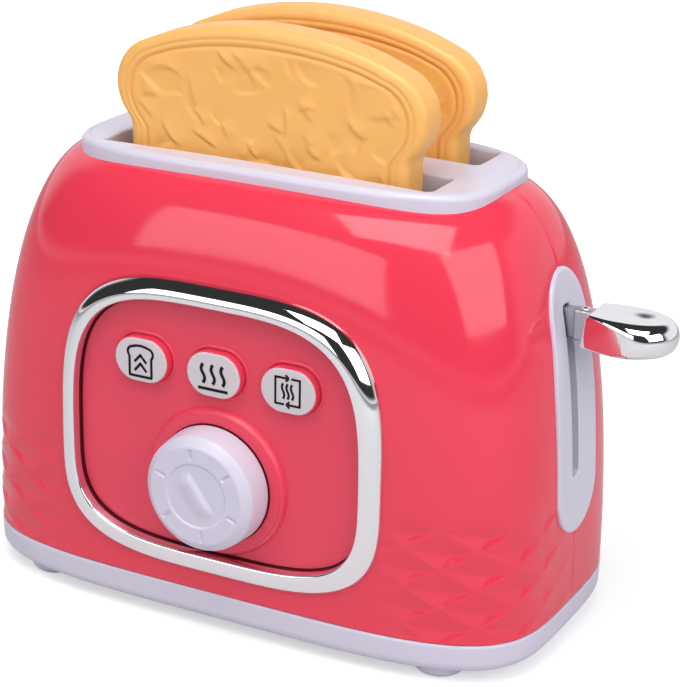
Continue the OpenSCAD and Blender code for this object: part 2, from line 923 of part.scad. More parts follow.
module button_retainer() {
  color(grey)
    on_panel()
      difference() {
        translate([0, button_z, -retainer_front - retainer_t])
          linear_extrude(retainer_t)
            stadium(2 * retainer_x + 10, 10);
        button_places()
          translate([0, 0, -cut])
            cylinder(r = button_pin_r + run_gap, h = 2 * cut);
        for (s = [-1, 1])
          translate([s * retainer_x, button_z, -cut])
            cylinder(r = screw_pass, h = 2 * cut);
      }
}

// Lever and carriage

// Upright slice of the shell's end wall between two depths, cut to a stadium
module end_layer(out, inside, margin) {
  step = 4;
  low = guide_low - 6;
  high = guide_high + 6;
  count = ceil((high - low) / step);
  heights = [for (k = [0 : count]) low + (high - low) * k / count];
  intersection() {
    upright(-cut)
      linear_extrude(2 * cut)
        polygon(concat(
          [for (z = heights) [half_w(z) + out, z]],
          [for (k = [count : -1 : 0]) [half_w(heights[k]) - inside, heights[k]]]
        ));
    sideways(0)
      linear_extrude(body_w)
        translate([0, (guide_low + guide_high) / 2])
          rotate(90)
            stadium(guide_high - guide_low + 2 * margin, guide_w + 2 * margin);
  }
}

module lever_guide() {
  color(pale)
    difference() {
      union() {
        end_layer(guide_proud, guide_t, 0);
        end_layer(-wall - 1.9, guide_t, guide_flange);
      }
      sideways(0)
        linear_extrude(body_w)
          translate([-guide_slot_w / 2, lever_low - lever_travel - slide_gap])
            square([guide_slot_w, lever_travel + stem_h + 2 * slide_gap]);
    }
}

// Flat pebble: a disc whose edge is fully rounded
module pebble(r, t) {
  rotate_extrude($fn = 32)
    polygon(concat(
      [[0, -t / 2]],
      [for (a = [-90 : 18 : 90]) [r - t / 2 + t / 2 * cos(a), t / 2 * sin(a)]],
      [[0, t / 2]]
    ));
}

module lever_handle() {
  root = half_w(lever_low - lever_travel) + guide_proud + 0.8;
  tip_r = paddle_w / 2;
  root_r = tip_r * 0.82;
  color(chrome)
    difference() {
      union() {
        translate([arm_end, -stem_t / 2, lever_low])
          cube([root + root_r - arm_end, stem_t, stem_h]);
        hull() {
          sideways(root)
            linear_extrude(2)
              translate([0, lever_z])
                rounded(2 * root_r, paddle_t, paddle_t * 0.3);
          translate([root + paddle_l - tip_r, 0, lever_z])
            pebble(tip_r, paddle_t);
        }
      }
      translate([arm_end - 1, 0, lever_z])
        rotate([0, 90, 0])
          cylinder(r = screw_pilot, h = 10);
    }
}

module lever_screw() {
  color(steel)
    translate([arm_end - 4, 0, lever_z])
      rotate([0, 90, 0])
        screw(11);
}

module bread_carriage() {
  floor_low = tray_top - tray_t;
  color(grey)
    difference() {
      union() {
        translate([-tray_half_l, -tray_front, floor_low])
          cube([2 * tray_half_l, 2 * tray_front, tray_t]);
        for (s = [-1, 1], side = [-1, 1])
          translate([-tray_half_l, s * slot_pitch / 2 + side * (tray_gap + lip_t / 2) - lip_t / 2, floor_low])
            cube([2 * tray_half_l, lip_t, lip_h + tray_t]);
        for (s = [-1, 1])
          translate([s * rod_x, 0, bush_low])
            cylinder(r = bush_r, h = bush_l);
        upright(-stem_t / 2)
          linear_extrude(stem_t)
            polygon([
              [rod_x, floor_low], [tray_half_l + 10, floor_low], [arm_end, lever_low],
              [arm_end, lever_high], [arm_end - 4, lever_high], [arm_end - 4, lever_low + 1.4],
              [rod_x, tray_top + lip_h]
            ]);
        translate([catch_low_x, -panel_y + catch_tip, tray_top - 4])
          cube([catch_high_x - catch_low_x, panel_y - catch_tip - tray_front + 4, 4]);
      }
      for (s = [-1, 1])
        translate([s * rod_x, 0, bush_low - 1])
          cylinder(r = rod_r + run_gap, h = bush_l + 2);
      translate([arm_end - 10, 0, lever_z])
        rotate([0, 90, 0])
          cylinder(r = screw_pass, h = 20);
      for (s = [-1, 1])
        translate([0, s * slot_pitch / 2, floor_low - 1])
          linear_extrude(10)
            for (i = [-1 : 1])
              translate([i * tray_half_l * 0.62, 0])
                rounded(tray_half_l * 0.5, bread_t * 0.6, 2);
    }
}

module guide_rods() {
  color(steel)
    for (s = [-1, 1])
      translate([s * rod_x, 0, rod_seat])
        cylinder(r = rod_r, h = rod_top - rod_seat);
}

module lift_spring(s) {
  color(steel)
    translate([s * rod_x, 0, 0])
      coil(rod_r + 1.4, lift_wire, boss_top + fit_gap, bush_low - fit_gap, lift_coils, "lift_spring");
}

module lift_spring_left() { lift_spring(-1); }
module lift_spring_right() { lift_spring(1); }

// Bread

// Slice outline: a stem with a wider crown that has round corners and an arched top
module slice_outline() {
  corner_x = bread_w / 2 - crown_r;
  corner_z = bread_h - crown_drop;
  arch_rise = crown_drop - crown_r;
  arch_r = (pow(corner_x, 2) + pow(arch_rise, 2)) / (2 * arch_rise) + 20;
  arch_span = asin(corner_x * 0.95 / arch_r);
  offset(r = -4)
    offset(r = 4) {
      hull() {
        for (s = [-1, 1])
          translate([s * corner_x, corner_z])
            circle(r = crown_r);
        polygon(concat(
          [[0, corner_z]],
          [for (k = [-8 : 8]) [0, bread_h - arch_r] + arch_r * [sin(arch_span * k / 8), cos(arch_span * k / 8)]]
        ));
      }
      translate([0, corner_z / 2])
        rounded(stem_w, corner_z, 5);
    }
}

module bread_slice(s) {
  color(crumb)
    translate([0, s * slot_pitch / 2, bread_z])
      difference() {
        upright(-bread_t / 2)
          linear_extrude(bread_t)
            slice_outline();
        for (face = [-1, 1])
          upright(face > 0 ? bread_t / 2 - crumb_depth : -bread_t / 2 - 1)
            linear_extrude(1 + crumb_depth)
              offset(r = -crust_w)
                slice_outline();
      }
}

module bread_slice_front() { bread_slice(-1); }
module bread_slice_rear() { bread_slice(1); }

// Screws

module base_screws() {
  color(steel)
    for (p = base_posts)
      translate([p[0], p[1], foot_h + screw_head_h + 0.4])
        screw(screw_bite + 2);
}

module shell_screws() {
  color(steel)
    for (p = shell_posts)
      translate([p[0], post_head_y, p[1]])
        rotate([90, 0, 0])
          screw(post_head_y + screw_bite);
}

module timer_screws() {
  color(steel)
    timer_ear_axes()
      translate([0, 0, -panel_t - 3])
        screw(3 + panel_t + 1);
}

module retainer_screws() {
  color(steel)
    for (s = [-1, 1])
      translate([s * retainer_x, -panel_y + retainer_front + retainer_t, button_z])
        rotate([90, 0, 0])
          screw(retainer_t + 6);
}

front_shell();
rear_shell();
base_tray();
feet();
top_bezel();
trim_ring();
control_panel();
timer_knob();
dial_shaft();
release_cam();
timer_housing();
latch_lever();
latch_pin();
latch_spring();
button_left();
button_middle();
button_right();
button_label_left();
button_label_middle();
button_label_right();
button_spring_left();
button_spring_middle();
button_spring_right();
button_retainer();
lever_guide();
lever_handle();
lever_screw();
bread_carriage();
guide_rods();
lift_spring_left();
lift_spring_right();
bread_slice_front();
bread_slice_rear();
base_screws();
shell_screws();
timer_screws();
retainer_screws();
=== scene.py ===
"""Toy pop-up toaster: smooth skins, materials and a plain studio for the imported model.

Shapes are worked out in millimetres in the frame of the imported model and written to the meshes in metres.
"""

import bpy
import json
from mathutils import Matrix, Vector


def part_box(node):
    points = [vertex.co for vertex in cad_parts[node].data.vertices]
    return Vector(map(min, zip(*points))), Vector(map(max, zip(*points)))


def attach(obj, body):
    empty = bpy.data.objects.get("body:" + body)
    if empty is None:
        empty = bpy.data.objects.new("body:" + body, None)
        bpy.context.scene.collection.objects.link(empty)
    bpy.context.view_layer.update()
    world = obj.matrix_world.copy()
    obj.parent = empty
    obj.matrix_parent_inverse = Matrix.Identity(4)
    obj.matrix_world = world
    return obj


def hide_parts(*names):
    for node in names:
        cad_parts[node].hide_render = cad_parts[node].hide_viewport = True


bl_info = {
    "name": "Toy pop-up toaster",
    "version": (1, 0, 0),
    "blender": (4, 5, 0),
    "location": "View3D > Sidebar > Toaster",
    "description": "Dresses the packed toy toaster with moulded skins, play slices and a plain studio",
    "category": "Object",
}

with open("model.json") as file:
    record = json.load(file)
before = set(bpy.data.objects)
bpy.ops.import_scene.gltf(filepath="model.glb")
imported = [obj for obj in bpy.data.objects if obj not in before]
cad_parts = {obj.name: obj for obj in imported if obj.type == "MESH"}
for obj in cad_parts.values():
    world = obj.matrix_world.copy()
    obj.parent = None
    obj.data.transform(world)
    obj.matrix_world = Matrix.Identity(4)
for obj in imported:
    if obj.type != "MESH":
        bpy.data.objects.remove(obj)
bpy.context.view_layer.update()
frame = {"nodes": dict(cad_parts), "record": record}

import json
import math

import bpy
import numpy as np
from bpy.props import FloatProperty, FloatVectorProperty, IntProperty, PointerProperty
from mathutils import Matrix

MM = 0.001


# Settings


def length(name, description, default):
    return FloatProperty(name=name, description=description, default=default, unit="LENGTH", precision=5)


def paint(name, description, default):
    return FloatVectorProperty(name=name, description=description, default=default, subtype="COLOR", min=0, max=1)


def level(name, description, default):
    return FloatProperty(name=name, description=description, default=default, min=0)


class ToasterSizes(bpy.types.PropertyGroup):
    """Sizes of the skins that a user would change."""

    crest_width: length("Crest width", "Width of the flat top of the shells", 0.132)
    crest_depth: length("Crest depth", "Depth of the flat top of the shells", 0.06)
    shell_wall: length("Shell wall", "Thickness of the moulded shells", 0.0022)
    seam_depth: length("Seam depth", "Depth of the groove where the shells meet", 0.0005)
    facet_width: length("Facet width", "Width of a diamond facet low on the body", 0.024)
    facet_height: length("Facet height", "Height of a diamond facet low on the body", 0.0127)
    facet_depth: length("Facet depth", "How deep a diamond facet is cut", 0.0009)
    bezel_round: length("Bezel rounding", "Rounding of the bezel's upper edge", 0.0022)
    slot_round: length("Slot rounding", "Rounding of the lips of the bread slots", 0.001)
    crust_round: length("Crust rounding", "Rounding of the edge of a slice", 0.0036)
    crumb_relief: length("Crumb relief", "Height of the creases on a slice's face", 0.0006)
    crumb_seed: IntProperty(name="Crumb seed", description="Start value of the creases on the slices", default=7, min=0)


class ToasterColours(bpy.types.PropertyGroup):
    """Colours of the finishes."""

    coral: paint("Coral gloss", "Gloss plastic of the shells", (0.8, 0.044, 0.085))
    # Also, at a tenth, the painted shade in the gaps at the trim ring and the dial.
    panel: paint("Coral satin", "Satin plastic of the panel and buttons", (0.8, 0.051, 0.103))
    pale: paint("Lavender white", "Plastic of the base, bezel, guide plate and dial", (0.645, 0.615, 0.735))
    crumb: paint("Crumb", "Plastic of the play slices", (0.93, 0.48, 0.125))
    # Painted shade: this colour darkens the grooves and creases of the slices.
    crust: paint("Crust", "Hollows of the play slices", (0.83, 0.33, 0.05))
    bright: paint("Bright plating", "Plated trim ring and lever", (0.86, 0.86, 0.88))
    steel: paint("Steel", "Springs, rods and screws", (0.52, 0.53, 0.55))
    inner: paint("Inner plastic", "Plastic of the pieces inside the body", (0.3, 0.28, 0.31))
    label: paint("Label", "Faces of the push buttons", (0.64, 0.58, 0.62))
    # Also the painted shade of the hole in the lever's pin.
    ink: paint("Ink", "Signs on the push buttons", (0.012, 0.011, 0.014))


class ToasterStage(bpy.types.PropertyGroup):
    """Camera and light."""

    focal_pixels: level("Focal length", "Focal length of the camera in pixels of a 680 by 687 picture", 2168.0)
    box_radiance: level("Soft boxes", "Brightness of the soft boxes", 2.4)
    sky_strength: level("Sky", "Strength of the light from all round", 0.27)
    sky_mirrored: level("Sky in reflections", "Brightness of the dark room that the gloss mirrors", 0.035)


def mm(name):
    """One of the sizes in the settings, in millimetres."""
    return getattr(bpy.context.scene.toaster_sizes, name) / MM


def colours():
    return bpy.context.scene.toaster_colours


# Outlines of the body, in millimetres


def span(node):
    """Lowest and highest corner of a solid at rest, in millimetres."""
    low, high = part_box(node)
    return np.array(low) / MM, np.array(high) / MM


BASE_LOW, BASE_HIGH = span("base_tray")
RING_LOW, RING_HIGH = span("trim_ring")
KNOB_LOW, KNOB_HIGH = span("timer_knob")
HANDLE_LOW, HANDLE_HIGH = span("lever_handle")
SLICE_LOW, SLICE_HIGH = span("bread_slice_front")
FEET_HIGH = span("feet")[1]
BEZEL_TOP = span("top_bezel")[1][2]

PLAN_POWER_LOW, PLAN_POWER_HIGH = 4.2, 2.4
SIDE_EASE, SIDE_ROUND = 2.4, 2.8
FRONT_EASE, FRONT_ROUND = 4.5, 2.9
BEZEL_POWER, RING_POWER = 3.6, 3.5
BASE_TOP, SHELL_TOP = BASE_HIGH[2], BEZEL_TOP - 4
RING_MID_Z = RING_LOW[2] + 38.5
PANEL_Y = -51.2
DIAL_Z = (KNOB_LOW[2] + KNOB_HIGH[2]) / 2
LEVER_Z = (HANDLE_LOW[2] + HANDLE_HIGH[2]) / 2
BEZEL_L, BEZEL_W = 145.0, 70.0
SLOT_L, SLOT_W, SLOT_PITCH, SLOT_CORNER = 115.6, 17.2, 34.0, 2.0
PLATE_LOW, PLATE_HIGH, PLATE_W = 38.5, 123.5, 30.0
SCREW_PLACES = [(sx * px, pz) for px, pz in ((80, BASE_TOP + 22), (68, SHELL_TOP - 22.5)) for sx in (-1, 1)]


def ease(low, high, value):
    """Smooth step from 0 at low to 1 at high."""
    t = np.clip((value - low) / (high - low), 0, 1)
    return t * t * (3 - 2 * t)


def rise(z):
    """Share of the shells' height that lies below z."""
    return np.clip((z - BASE_TOP) / (SHELL_TOP - BASE_TOP), 0, 1)


def half_w(z):
    """Half width at height z: the crest plus what is left of the side's ease-in curve."""
    crest = mm("crest_width") / 2
    return crest + (BASE_HIGH[0] - crest) * (1 - rise(z) ** SIDE_EASE) ** (1 / SIDE_ROUND)


def half_d(z):
    """Half depth at height z, in the same way."""
    crest = mm("crest_depth") / 2
    return crest + (BASE_HIGH[1] - crest) * (1 - rise(z) ** FRONT_EASE) ** (1 / FRONT_ROUND)


def plan_power(z):
    return PLAN_POWER_LOW + (PLAN_POWER_HIGH - PLAN_POWER_LOW) * rise(z) ** 2


def oval(a, b, power, angle):
    """Point of |x/a|^n + |y/b|^n = 1 in the direction of an angle in radians."""
    c, s = np.cos(angle), np.sin(angle)
    r = ((np.abs(c) / a) ** power + (np.abs(s) / b) ** power) ** (-1 / power)
    return r * c, r * s


def in_oval(x, y, a, b, power):
    return (np.abs(x) / a) ** power + (np.abs(y) / b) ** power < 1


def front_at(x, z):
    """Distance of the front or rear face from the middle plane at x and z."""
    n = plan_power(z)
    share = np.clip(np.abs(x) / half_w(z), 0, 0.9995)
    return half_d(z) * (1 - share ** n) ** (1 / n)


def ring_reach(below):
    """Height of the trim ring below or above its middle line."""
    return np.where(below, RING_MID_Z - RING_LOW[2], RING_HIGH[2] - RING_MID_Z)


def ring_point(angle, inset):
    """Point x, z of the trim ring's outline, inset from its outer edge."""
    x, z = oval(RING_HIGH[0] - inset, ring_reach(np.sin(angle) < 0) - inset, RING_POWER, angle)
    return x, z + RING_MID_Z


# Paths and meshes


def circle(count):
    """Angles of a full turn, in even steps."""
    return np.linspace(0, 2 * np.pi, count, endpoint=False)


def quarter(count):
    """Angles of a quarter round, both ends included."""
    return np.radians(np.linspace(0, 90, count))


def column(*parts):
    """Lists of numbers set one after another, as a column."""
    return np.concatenate(parts)[:, None]


def xyz(x, y, z):
    """Points from coordinates that are brought to one shape."""
    return np.stack(np.broadcast_arrays(x, y, z), -1)


def arc(centre, radius, start, stop, steps):
    """Points of an arc in a plane, angles in degrees."""
    a = np.radians(np.linspace(start, stop, steps))
    return np.stack([centre[0] + radius * np.cos(a), centre[1] + radius * np.sin(a)], -1)


def rounded(w, h, r, steps, middle=0.0):
    """Rounded rectangle of half width w and half height h about (0, middle), counter-clockwise from its right side."""
    corners = ((1, 1, 0), (-1, 1, 90), (-1, -1, 180), (1, -1, 270))
    return np.concatenate([arc((i * (w - r), middle + j * (h - r)), r, a, a + 90, steps) for i, j, a in corners])


def resample(path, count):
    """Points at even steps along a closed path."""
    path = np.concatenate([path, path[:1]])
    along = np.concatenate([[0], np.cumsum(np.hypot(*np.diff(path, axis=0).T))])
    at = np.linspace(0, along[-1], count, endpoint=False)
    return np.stack([np.interp(at, along, path[:, k]) for k in (0, 1)], -1)


def smooth(path, times):
    """Closed path after some rounds of a 1-2-1 mean."""
    for _ in range(times):
        path = (np.roll(path, 1, 0) + 2 * path + np.roll(path, -1, 0)) / 4
    return path


def by_direction(path, middle, reach, at):
    """Points of a path in the directions at, seen from (0, middle) with both axes measured in reach."""
    turn = np.arctan2((path[:, 1] - middle) / reach[1], path[:, 0] / reach[0])
    return np.stack([np.interp(at, turn, path[:, k], period=2 * np.pi) for k in (0, 1)], -1)


def grid_faces(rows, columns, around=False):
    """Quads of a grid of points, closed along its columns where asked, facing column direction x row direction."""
    i = np.arange(rows - 1)[:, None] * columns
    j = np.arange(columns if around else columns - 1)[None, :]
    k = (j + 1) % columns
    return np.stack([i + j, i + k, i + columns + k, i + columns + j], -1).reshape(-1, 4)


def join(parts):
    """One list of points and one of faces from several, with the face numbers moved along."""
    faces, start = [], 0
    for points, some in parts:
        faces += [[corner + start for corner in face] for face in some]
        start += len(points)
    return np.concatenate([points for points, _ in parts]), faces


def stack(loops, cap_first=False, cap_last=False):
    """Skin over a stack of closed loops (m, n, 3), with a fan to the middle of an end loop where asked."""
    loops = np.asarray(loops, float)
    m, n = loops.shape[:2]
    points = loops.reshape(-1, 3)
    faces = grid_faces(m, n, around=True).tolist()
    here = np.arange(n)
    ahead = (here + 1) % n
    for wanted, row, a, b in ((cap_first, 0, ahead, here), (cap_last, m - 1, here, ahead)):
        if wanted:
            hub = np.full(n, len(points))
            points = np.concatenate([points, loops[row].mean(0)[None]])
            faces += np.stack([row * n + a, row * n + b, hub], -1).tolist()
    return points, faces


def piece(name, made, body, look, nodes=(), sharp=None, hollow=None):
    """Puts points in millimetres and faces into a mesh object that rides on a body and stands for the nodes."""
    points, faces = made
    mesh = bpy.data.meshes.new(name)
    mesh.from_pydata((points * MM).tolist(), [], faces)
    mesh.polygons.foreach_set("use_smooth", np.ones(len(mesh.polygons), bool))
    # Per-point share of painted shade for the finish.
    if hollow is not None:
        layer = mesh.attributes.new("hollow", "FLOAT", "POINT")
        layer.data.foreach_set("value", hollow.astype(np.float32))
    mesh.update()
    if sharp:
        mesh.set_sharp_from_angle(angle=math.radians(sharp))
    mesh.materials.append(finish(look))
    obj = bpy.data.objects.new(name, mesh)
    bpy.context.scene.collection.objects.link(obj)
    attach(obj, body)
    if nodes:
        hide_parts(*nodes)
    return obj


# Materials


def fill(node, sockets):
    """Gives a node's input sockets their values."""
    for key, value in sockets.items():
        node.inputs[key].default_value = value


def add(tree, kind, sockets=None, **settings):
    """New shader node with some of its settings and then its input sockets filled in, set out in rows of five."""
    down, across = divmod(len(tree.nodes), 5)
    node = tree.nodes.new("ShaderNode" + kind)
    node.location = (260 * across - 1500, -320 * down)
    for key, value in settings.items():
        setattr(node, key, value)
    fill(node, sockets or {})
    return node


def wire(tree, *runs):
    """Links, each given as a node, its output, the next node and its input."""
    for source, output, target, socket in runs:
        tree.links.new(source.outputs[output], target.inputs[socket])


def new_group(name, inputs, outputs):
    """Node group with sockets given by name and kind, and its entry and exit."""
    tree = bpy.data.node_groups.new(name, "ShaderNodeTree")
    for way, sockets in (("INPUT", inputs), ("OUTPUT", outputs)):
        for key, kind in sockets.items():
            tree.interface.new_socket(key, in_out=way, socket_type="NodeSocket" + kind)
    return tree, tree.nodes.new("NodeGroupInput"), tree.nodes.new("NodeGroupOutput")


def mould_group():
    """Grain of moulded plastic: a fine orange-peel height, a broad tone and faint smears of handling."""
    if "MouldGrain" in bpy.data.node_groups:
        return bpy.data.node_groups["MouldGrain"]
    tree, enter, leave = new_group(
        "MouldGrain", {"Vector": "Vector", "Grain Scale": "Float", "Smear Scale": "Float"},
        {"Height": "Float", "Tone": "Float", "Smear": "Float"})
    grain = add(tree, "TexNoise", {"Detail": 2.0, "Roughness": 0.45})
    tone = add(tree, "TexNoise", {"Scale": 9.0, "Detail": 3.0, "Roughness": 0.5})
    smear = add(tree, "TexNoise", {"Detail": 5.0, "Roughness": 0.6, "Distortion": 0.8})
    curve = add(tree, "MapRange", {"From Min": 0.42, "From Max": 0.75})
    wire(tree, *[(enter, "Vector", node, "Vector") for node in (grain, tone, smear)],
         (enter, "Grain Scale", grain, "Scale"), (enter, "Smear Scale", smear, "Scale"),
         (grain, "Fac", leave, "Height"), (tone, "Fac", leave, "Tone"),
         (smear, "Fac", curve, "Value"), (curve, "Result", leave, "Smear"))
    return tree


def dust_group():
    """Dust that settles on faces turned upwards, broken up by noise."""
    if "SettledDust" in bpy.data.node_groups:
        return bpy.data.node_groups["SettledDust"]
    tree, enter, leave = new_group(
        "SettledDust", {"Vector": "Vector", "Color": "Color", "Amount": "Float"}, {"Color": "Color"})
    shape = add(tree, "NewGeometry")
    up = add(tree, "SeparateXYZ")
    facing = add(tree, "MapRange", {"From Min": 0.3})
    speck = add(tree, "TexNoise", {"Scale": 160.0, "Detail": 4.0, "Roughness": 0.7})
    weight = add(tree, "Math", operation="MULTIPLY")
    amount = add(tree, "Math", operation="MULTIPLY")
    mix = add(tree, "Mix", {7: (0.75, 0.73, 0.72, 1)}, data_type="RGBA")
    wire(tree, (shape, "Normal", up, 0), (up, "Z", facing, "Value"), (enter, "Vector", speck, "Vector"),
         (facing, "Result", weight, 0), (speck, "Fac", weight, 1), (weight, 0, amount, 0),
         (enter, "Amount", amount, 1), (amount, 0, mix, 0), (enter, "Color", mix, 6), (mix, 2, leave, "Color"))
    return tree


def tint(colour, share):
    return (*[min(1, c * share) for c in colour], 1)


# Finish: slot, colour, its two tones, least and most roughness, bump and what else there is
FINISHES = {
    "coral_gloss": ("coral_shell", "coral", (0.98, 1.02), (0.09, 0.16), 0.006, {"dust": 0.005}),
    "coral_satin": ("coral_shell", "panel", (0.97, 1.03), (0.34, 0.41), 0.03, {"dust": 0.01}),
    # Painted shade: the panel colour at a tenth, for the dark strips in the gaps at the trim ring and the dial.
    "coral_gap": ("coral_shell", "panel", (0.095, 0.105), (0.5, 0.57), 0.03, {"specular": 0.15}),
    "lavender_satin": ("pale_trim", "pale", (0.975, 1.025), (0.3, 0.37), 0.02, {"dust": 0.03}),
    "label_grey": ("pale_trim", "label", (0.98, 1.02), (0.38, 0.45), 0.02, {}),
    # Print of the signs, and the painted shade of the hole in the lever's pin.
    "sign_ink": ("inner_grey", "ink", (0.8, 1.2), (0.45, 0.52), 0.02, {"specular": 0.1}),
    "inner_dark": ("inner_grey", "inner", (0.9, 1.1), (0.5, 0.57), 0.06, {"dust": 0.15, "grain": 600.0}),
    "bright_plating": ("bright_trim", "bright", (0.94, 1.04), (0.045, 0.075), 0.004, {"metallic": 1.0, "grain": 500.0}),
    "drawn_steel": ("steel", "steel", (0.94, 1.04), (0.28, 0.4), 0.12,
                    {"metallic": 1.0, "grain": 1600.0, "stretch": (1, 1, 0.02)}),
    # The crust colour is painted shade in the slices' grooves and creases.
    "toast_plastic": ("bread", "crumb", (0.96, 1.06), (0.36, 0.5), 0.05,
                      {"dust": 0.04, "grain": 420.0, "smears": 45.0, "hollow": "crust", "subsurface": 0.12}),
}


def finish(name):
    """Procedural finish on object coordinates, made once from its row of the table.

    The base colour runs between two tones of a colour, goes over to a second colour as painted shade in the hollows and
    takes dust.
    Smears vary the roughness between two values. The grain, stretched where asked, bends the normal.
    """
    made = bpy.data.materials.get(name)
    if made:
        return made
    _, key, tones, rough, bump, more = FINISHES[name]
    colour = getattr(colours(), key)
    made = bpy.data.materials.new(name)
    made.use_nodes = True
    tree = made.node_tree
    shader = tree.nodes["Principled BSDF"]
    fill(shader, {"Metallic": more.get("metallic", 0.0), "Specular IOR Level": more.get("specular", 0.5),
                  "Subsurface Weight": more.get("subsurface", 0.0), "Subsurface Radius": (0.004, 0.002, 0.0008)})
    place = add(tree, "TexCoord")
    scales = {"Grain Scale": more.get("grain", 900.0), "Smear Scale": more.get("smears", 28.0)}
    mould = add(tree, "Group", scales, node_tree=mould_group())
    last = add(tree, "Mix", {6: tint(colour, tones[0]), 7: tint(colour, tones[1])}, data_type="RGBA")
    uneven = add(tree, "MapRange", {"To Min": rough[0], "To Max": rough[1]})
    raised = add(tree, "Bump", {"Strength": bump, "Distance": 0.001})
    wire(tree, (mould, "Tone", last, 0), (mould, "Smear", uneven, "Value"), (uneven, "Result", shader, "Roughness"),
         (mould, "Height", raised, "Height"), (raised, "Normal", shader, "Normal"))
    if "stretch" in more:
        drawn = add(tree, "Mapping", {"Scale": more["stretch"]})
        wire(tree, (place, "Object", drawn, "Vector"), (drawn, "Vector", mould, "Vector"))
    else:
        wire(tree, (place, "Object", mould, "Vector"))
    # Painted shade: the mesh's per-point share turns the colour towards the second colour in the hollows.
    if "hollow" in more:
        mask = add(tree, "Attribute", attribute_name="hollow")
        deep = add(tree, "Mix", {7: tint(getattr(colours(), more["hollow"]), 1)}, data_type="RGBA")
        wire(tree, (last, 2, deep, 6), (mask, "Fac", deep, 0))
        last = deep
    socket = 2
    if "dust" in more:
        dusty = add(tree, "Group", {"Amount": more["dust"]}, node_tree=dust_group())
        wire(tree, (place, "Object", dusty, "Vector"), (last, 2, dusty, "Color"))
        last, socket = dusty, "Color"
    wire(tree, (last, socket, shader, "Base Color"))
    return made


# Body

FACET_TOP, FACET_REACH, FACET_STEPS, FACET_LIMIT = 45.2, 116.0, 28, 58
FLOOR_OFF = -0.29
COLUMN_Z = 45.0
BEZEL_SEAT, PLATE_SEAT, RING_SEAT, SCREW_HOLE = 2.5, 5.0, 4.2, 4.0


def facet_relief(s, z, x, front):
    """Diamond facets low on the body.

    In diamond steps u = s/w - z/h and v = s/w + z/h, each cell is a hollow whose floor lies off its middle by c,
    -h = min(1 - 2|u|, (0.5 - v)/(0.5 - c), (v + 0.5)/(0.5 + c)); it fades upwards, towards the middle of the front
    and, over a longer way on the rear shell, at the seam.
    """
    along, up = s / mm("facet_width"), (z - FACET_TOP) / mm("facet_height")
    u = along - up - np.floor(along - up) - 0.5
    v = along + up - np.floor(along + up) - 0.5
    slope = np.minimum((0.5 - v) / (0.5 - FLOOR_OFF), (v + 0.5) / (0.5 + FLOOR_OFF))
    fade = ease(57, 48, z) * ease(48, 74, np.abs(x)) * np.clip((z - BASE_TOP - 0.4) / 1.2, 0, 1)
    seam = 0.2 + 0.8 * ease(2, 22, s) if front else ease(24, 70, s)
    return -mm("facet_depth") * np.minimum(1 - 2 * np.abs(u), slope) * fade * seam


def shell_columns():
    """Angles from 0 to pi: close at the seams, in parts of a facet as far as the facets reach, wide in the middle."""
    fine = np.linspace(0, np.pi, 4000)
    x, y = oval(half_w(COLUMN_Z), half_d(COLUMN_Z), plan_power(COLUMN_Z), fine)
    along = np.concatenate([[0], np.cumsum(np.hypot(np.diff(x), np.diff(y)))])
    step = mm("facet_width") / FACET_STEPS
    end = np.concatenate([[0, 0.12, 0.25, 0.4, 0.6, 0.9, 1.3], np.arange(2, FACET_REACH / step) * step])
    middle = np.linspace(end[-1], along[-1] - end[-1], 30)[1:-1]
    want = np.concatenate([end, middle, along[-1] - end[::-1]])
    return np.interp(want, along, fine), want, along[-1]


def shell_rows():
    """Heights of the rows: close at the lower edge, in parts of a facet on the facets, by a sine over the shoulder."""
    low = BASE_TOP + np.array([0.05, 0.2, 0.4, 0.7, 1.1, 1.6])
    step = mm("facet_height") / FACET_STEPS
    first = math.ceil((BASE_TOP + 2 - FACET_TOP) / step)
    facets = FACET_TOP + step * np.arange(first, math.floor((FACET_LIMIT - FACET_TOP) / step))
    t = np.linspace(0, 1, 66)[1:]
    return np.concatenate([low, facets, facets[-1] + (SHELL_TOP - facets[-1]) * np.sin(t * np.pi / 2)])


def shell_half(front):
    """Half of the body: an oval of height-dependent width, depth and power, moved along its normal by the relief.

    The faces over the bezel, the guide plate, the trim ring and the screw holes are left out.
    """
    angle, s, total = shell_columns()
    z = shell_rows()[:, None]
    x, y = oval(half_w(z), half_d(z), plan_power(z), angle[None, :])
    grid = xyz(x, y, z)
    normal = np.cross(np.gradient(grid, axis=1), np.gradient(grid, axis=0))
    normal /= np.linalg.norm(normal, axis=-1, keepdims=True) + 1e-12
    from_seam = np.minimum(s, total - s)[None, :]
    seam = mm("seam_depth") * (0.04 + 1.9 * ease(60, 125, z)) * np.exp(-(from_seam / 0.45) ** 2)
    lip = 0.35 * np.exp(-((z - BASE_TOP) / 0.35) ** 2)
    lift = facet_relief(from_seam, z, x, front) - seam - lip
    points = (grid + normal * lift[..., None]).reshape(-1, 3)
    faces = grid_faces(*x.shape)
    if front:
        points[:, 1] *= -1
        faces = faces[:, ::-1]

    x, y, z = points[faces].mean(1).T
    gone = in_oval(x, y, BEZEL_L / 2 - BEZEL_SEAT, BEZEL_W / 2 - BEZEL_SEAT, BEZEL_POWER) & (z > 120)
    straight = np.clip(z, PLATE_LOW + PLATE_W / 2, PLATE_HIGH - PLATE_W / 2)
    gone |= (x > 60) & (np.hypot(y, z - straight) < PLATE_W / 2 - PLATE_SEAT)
    if front:
        reach = ring_reach(z < RING_MID_Z) - RING_SEAT
        gone |= in_oval(x, z - RING_MID_Z, RING_HIGH[0] - RING_SEAT, reach, RING_POWER) & (y < -30)
    else:
        for px, pz in SCREW_PLACES:
            gone |= (np.hypot(x - px, z - pz) < SCREW_HOLE) & (y > 20)
    used, where = np.unique(faces[~gone], return_inverse=True)
    return points[used], where.reshape(-1, 4).tolist()


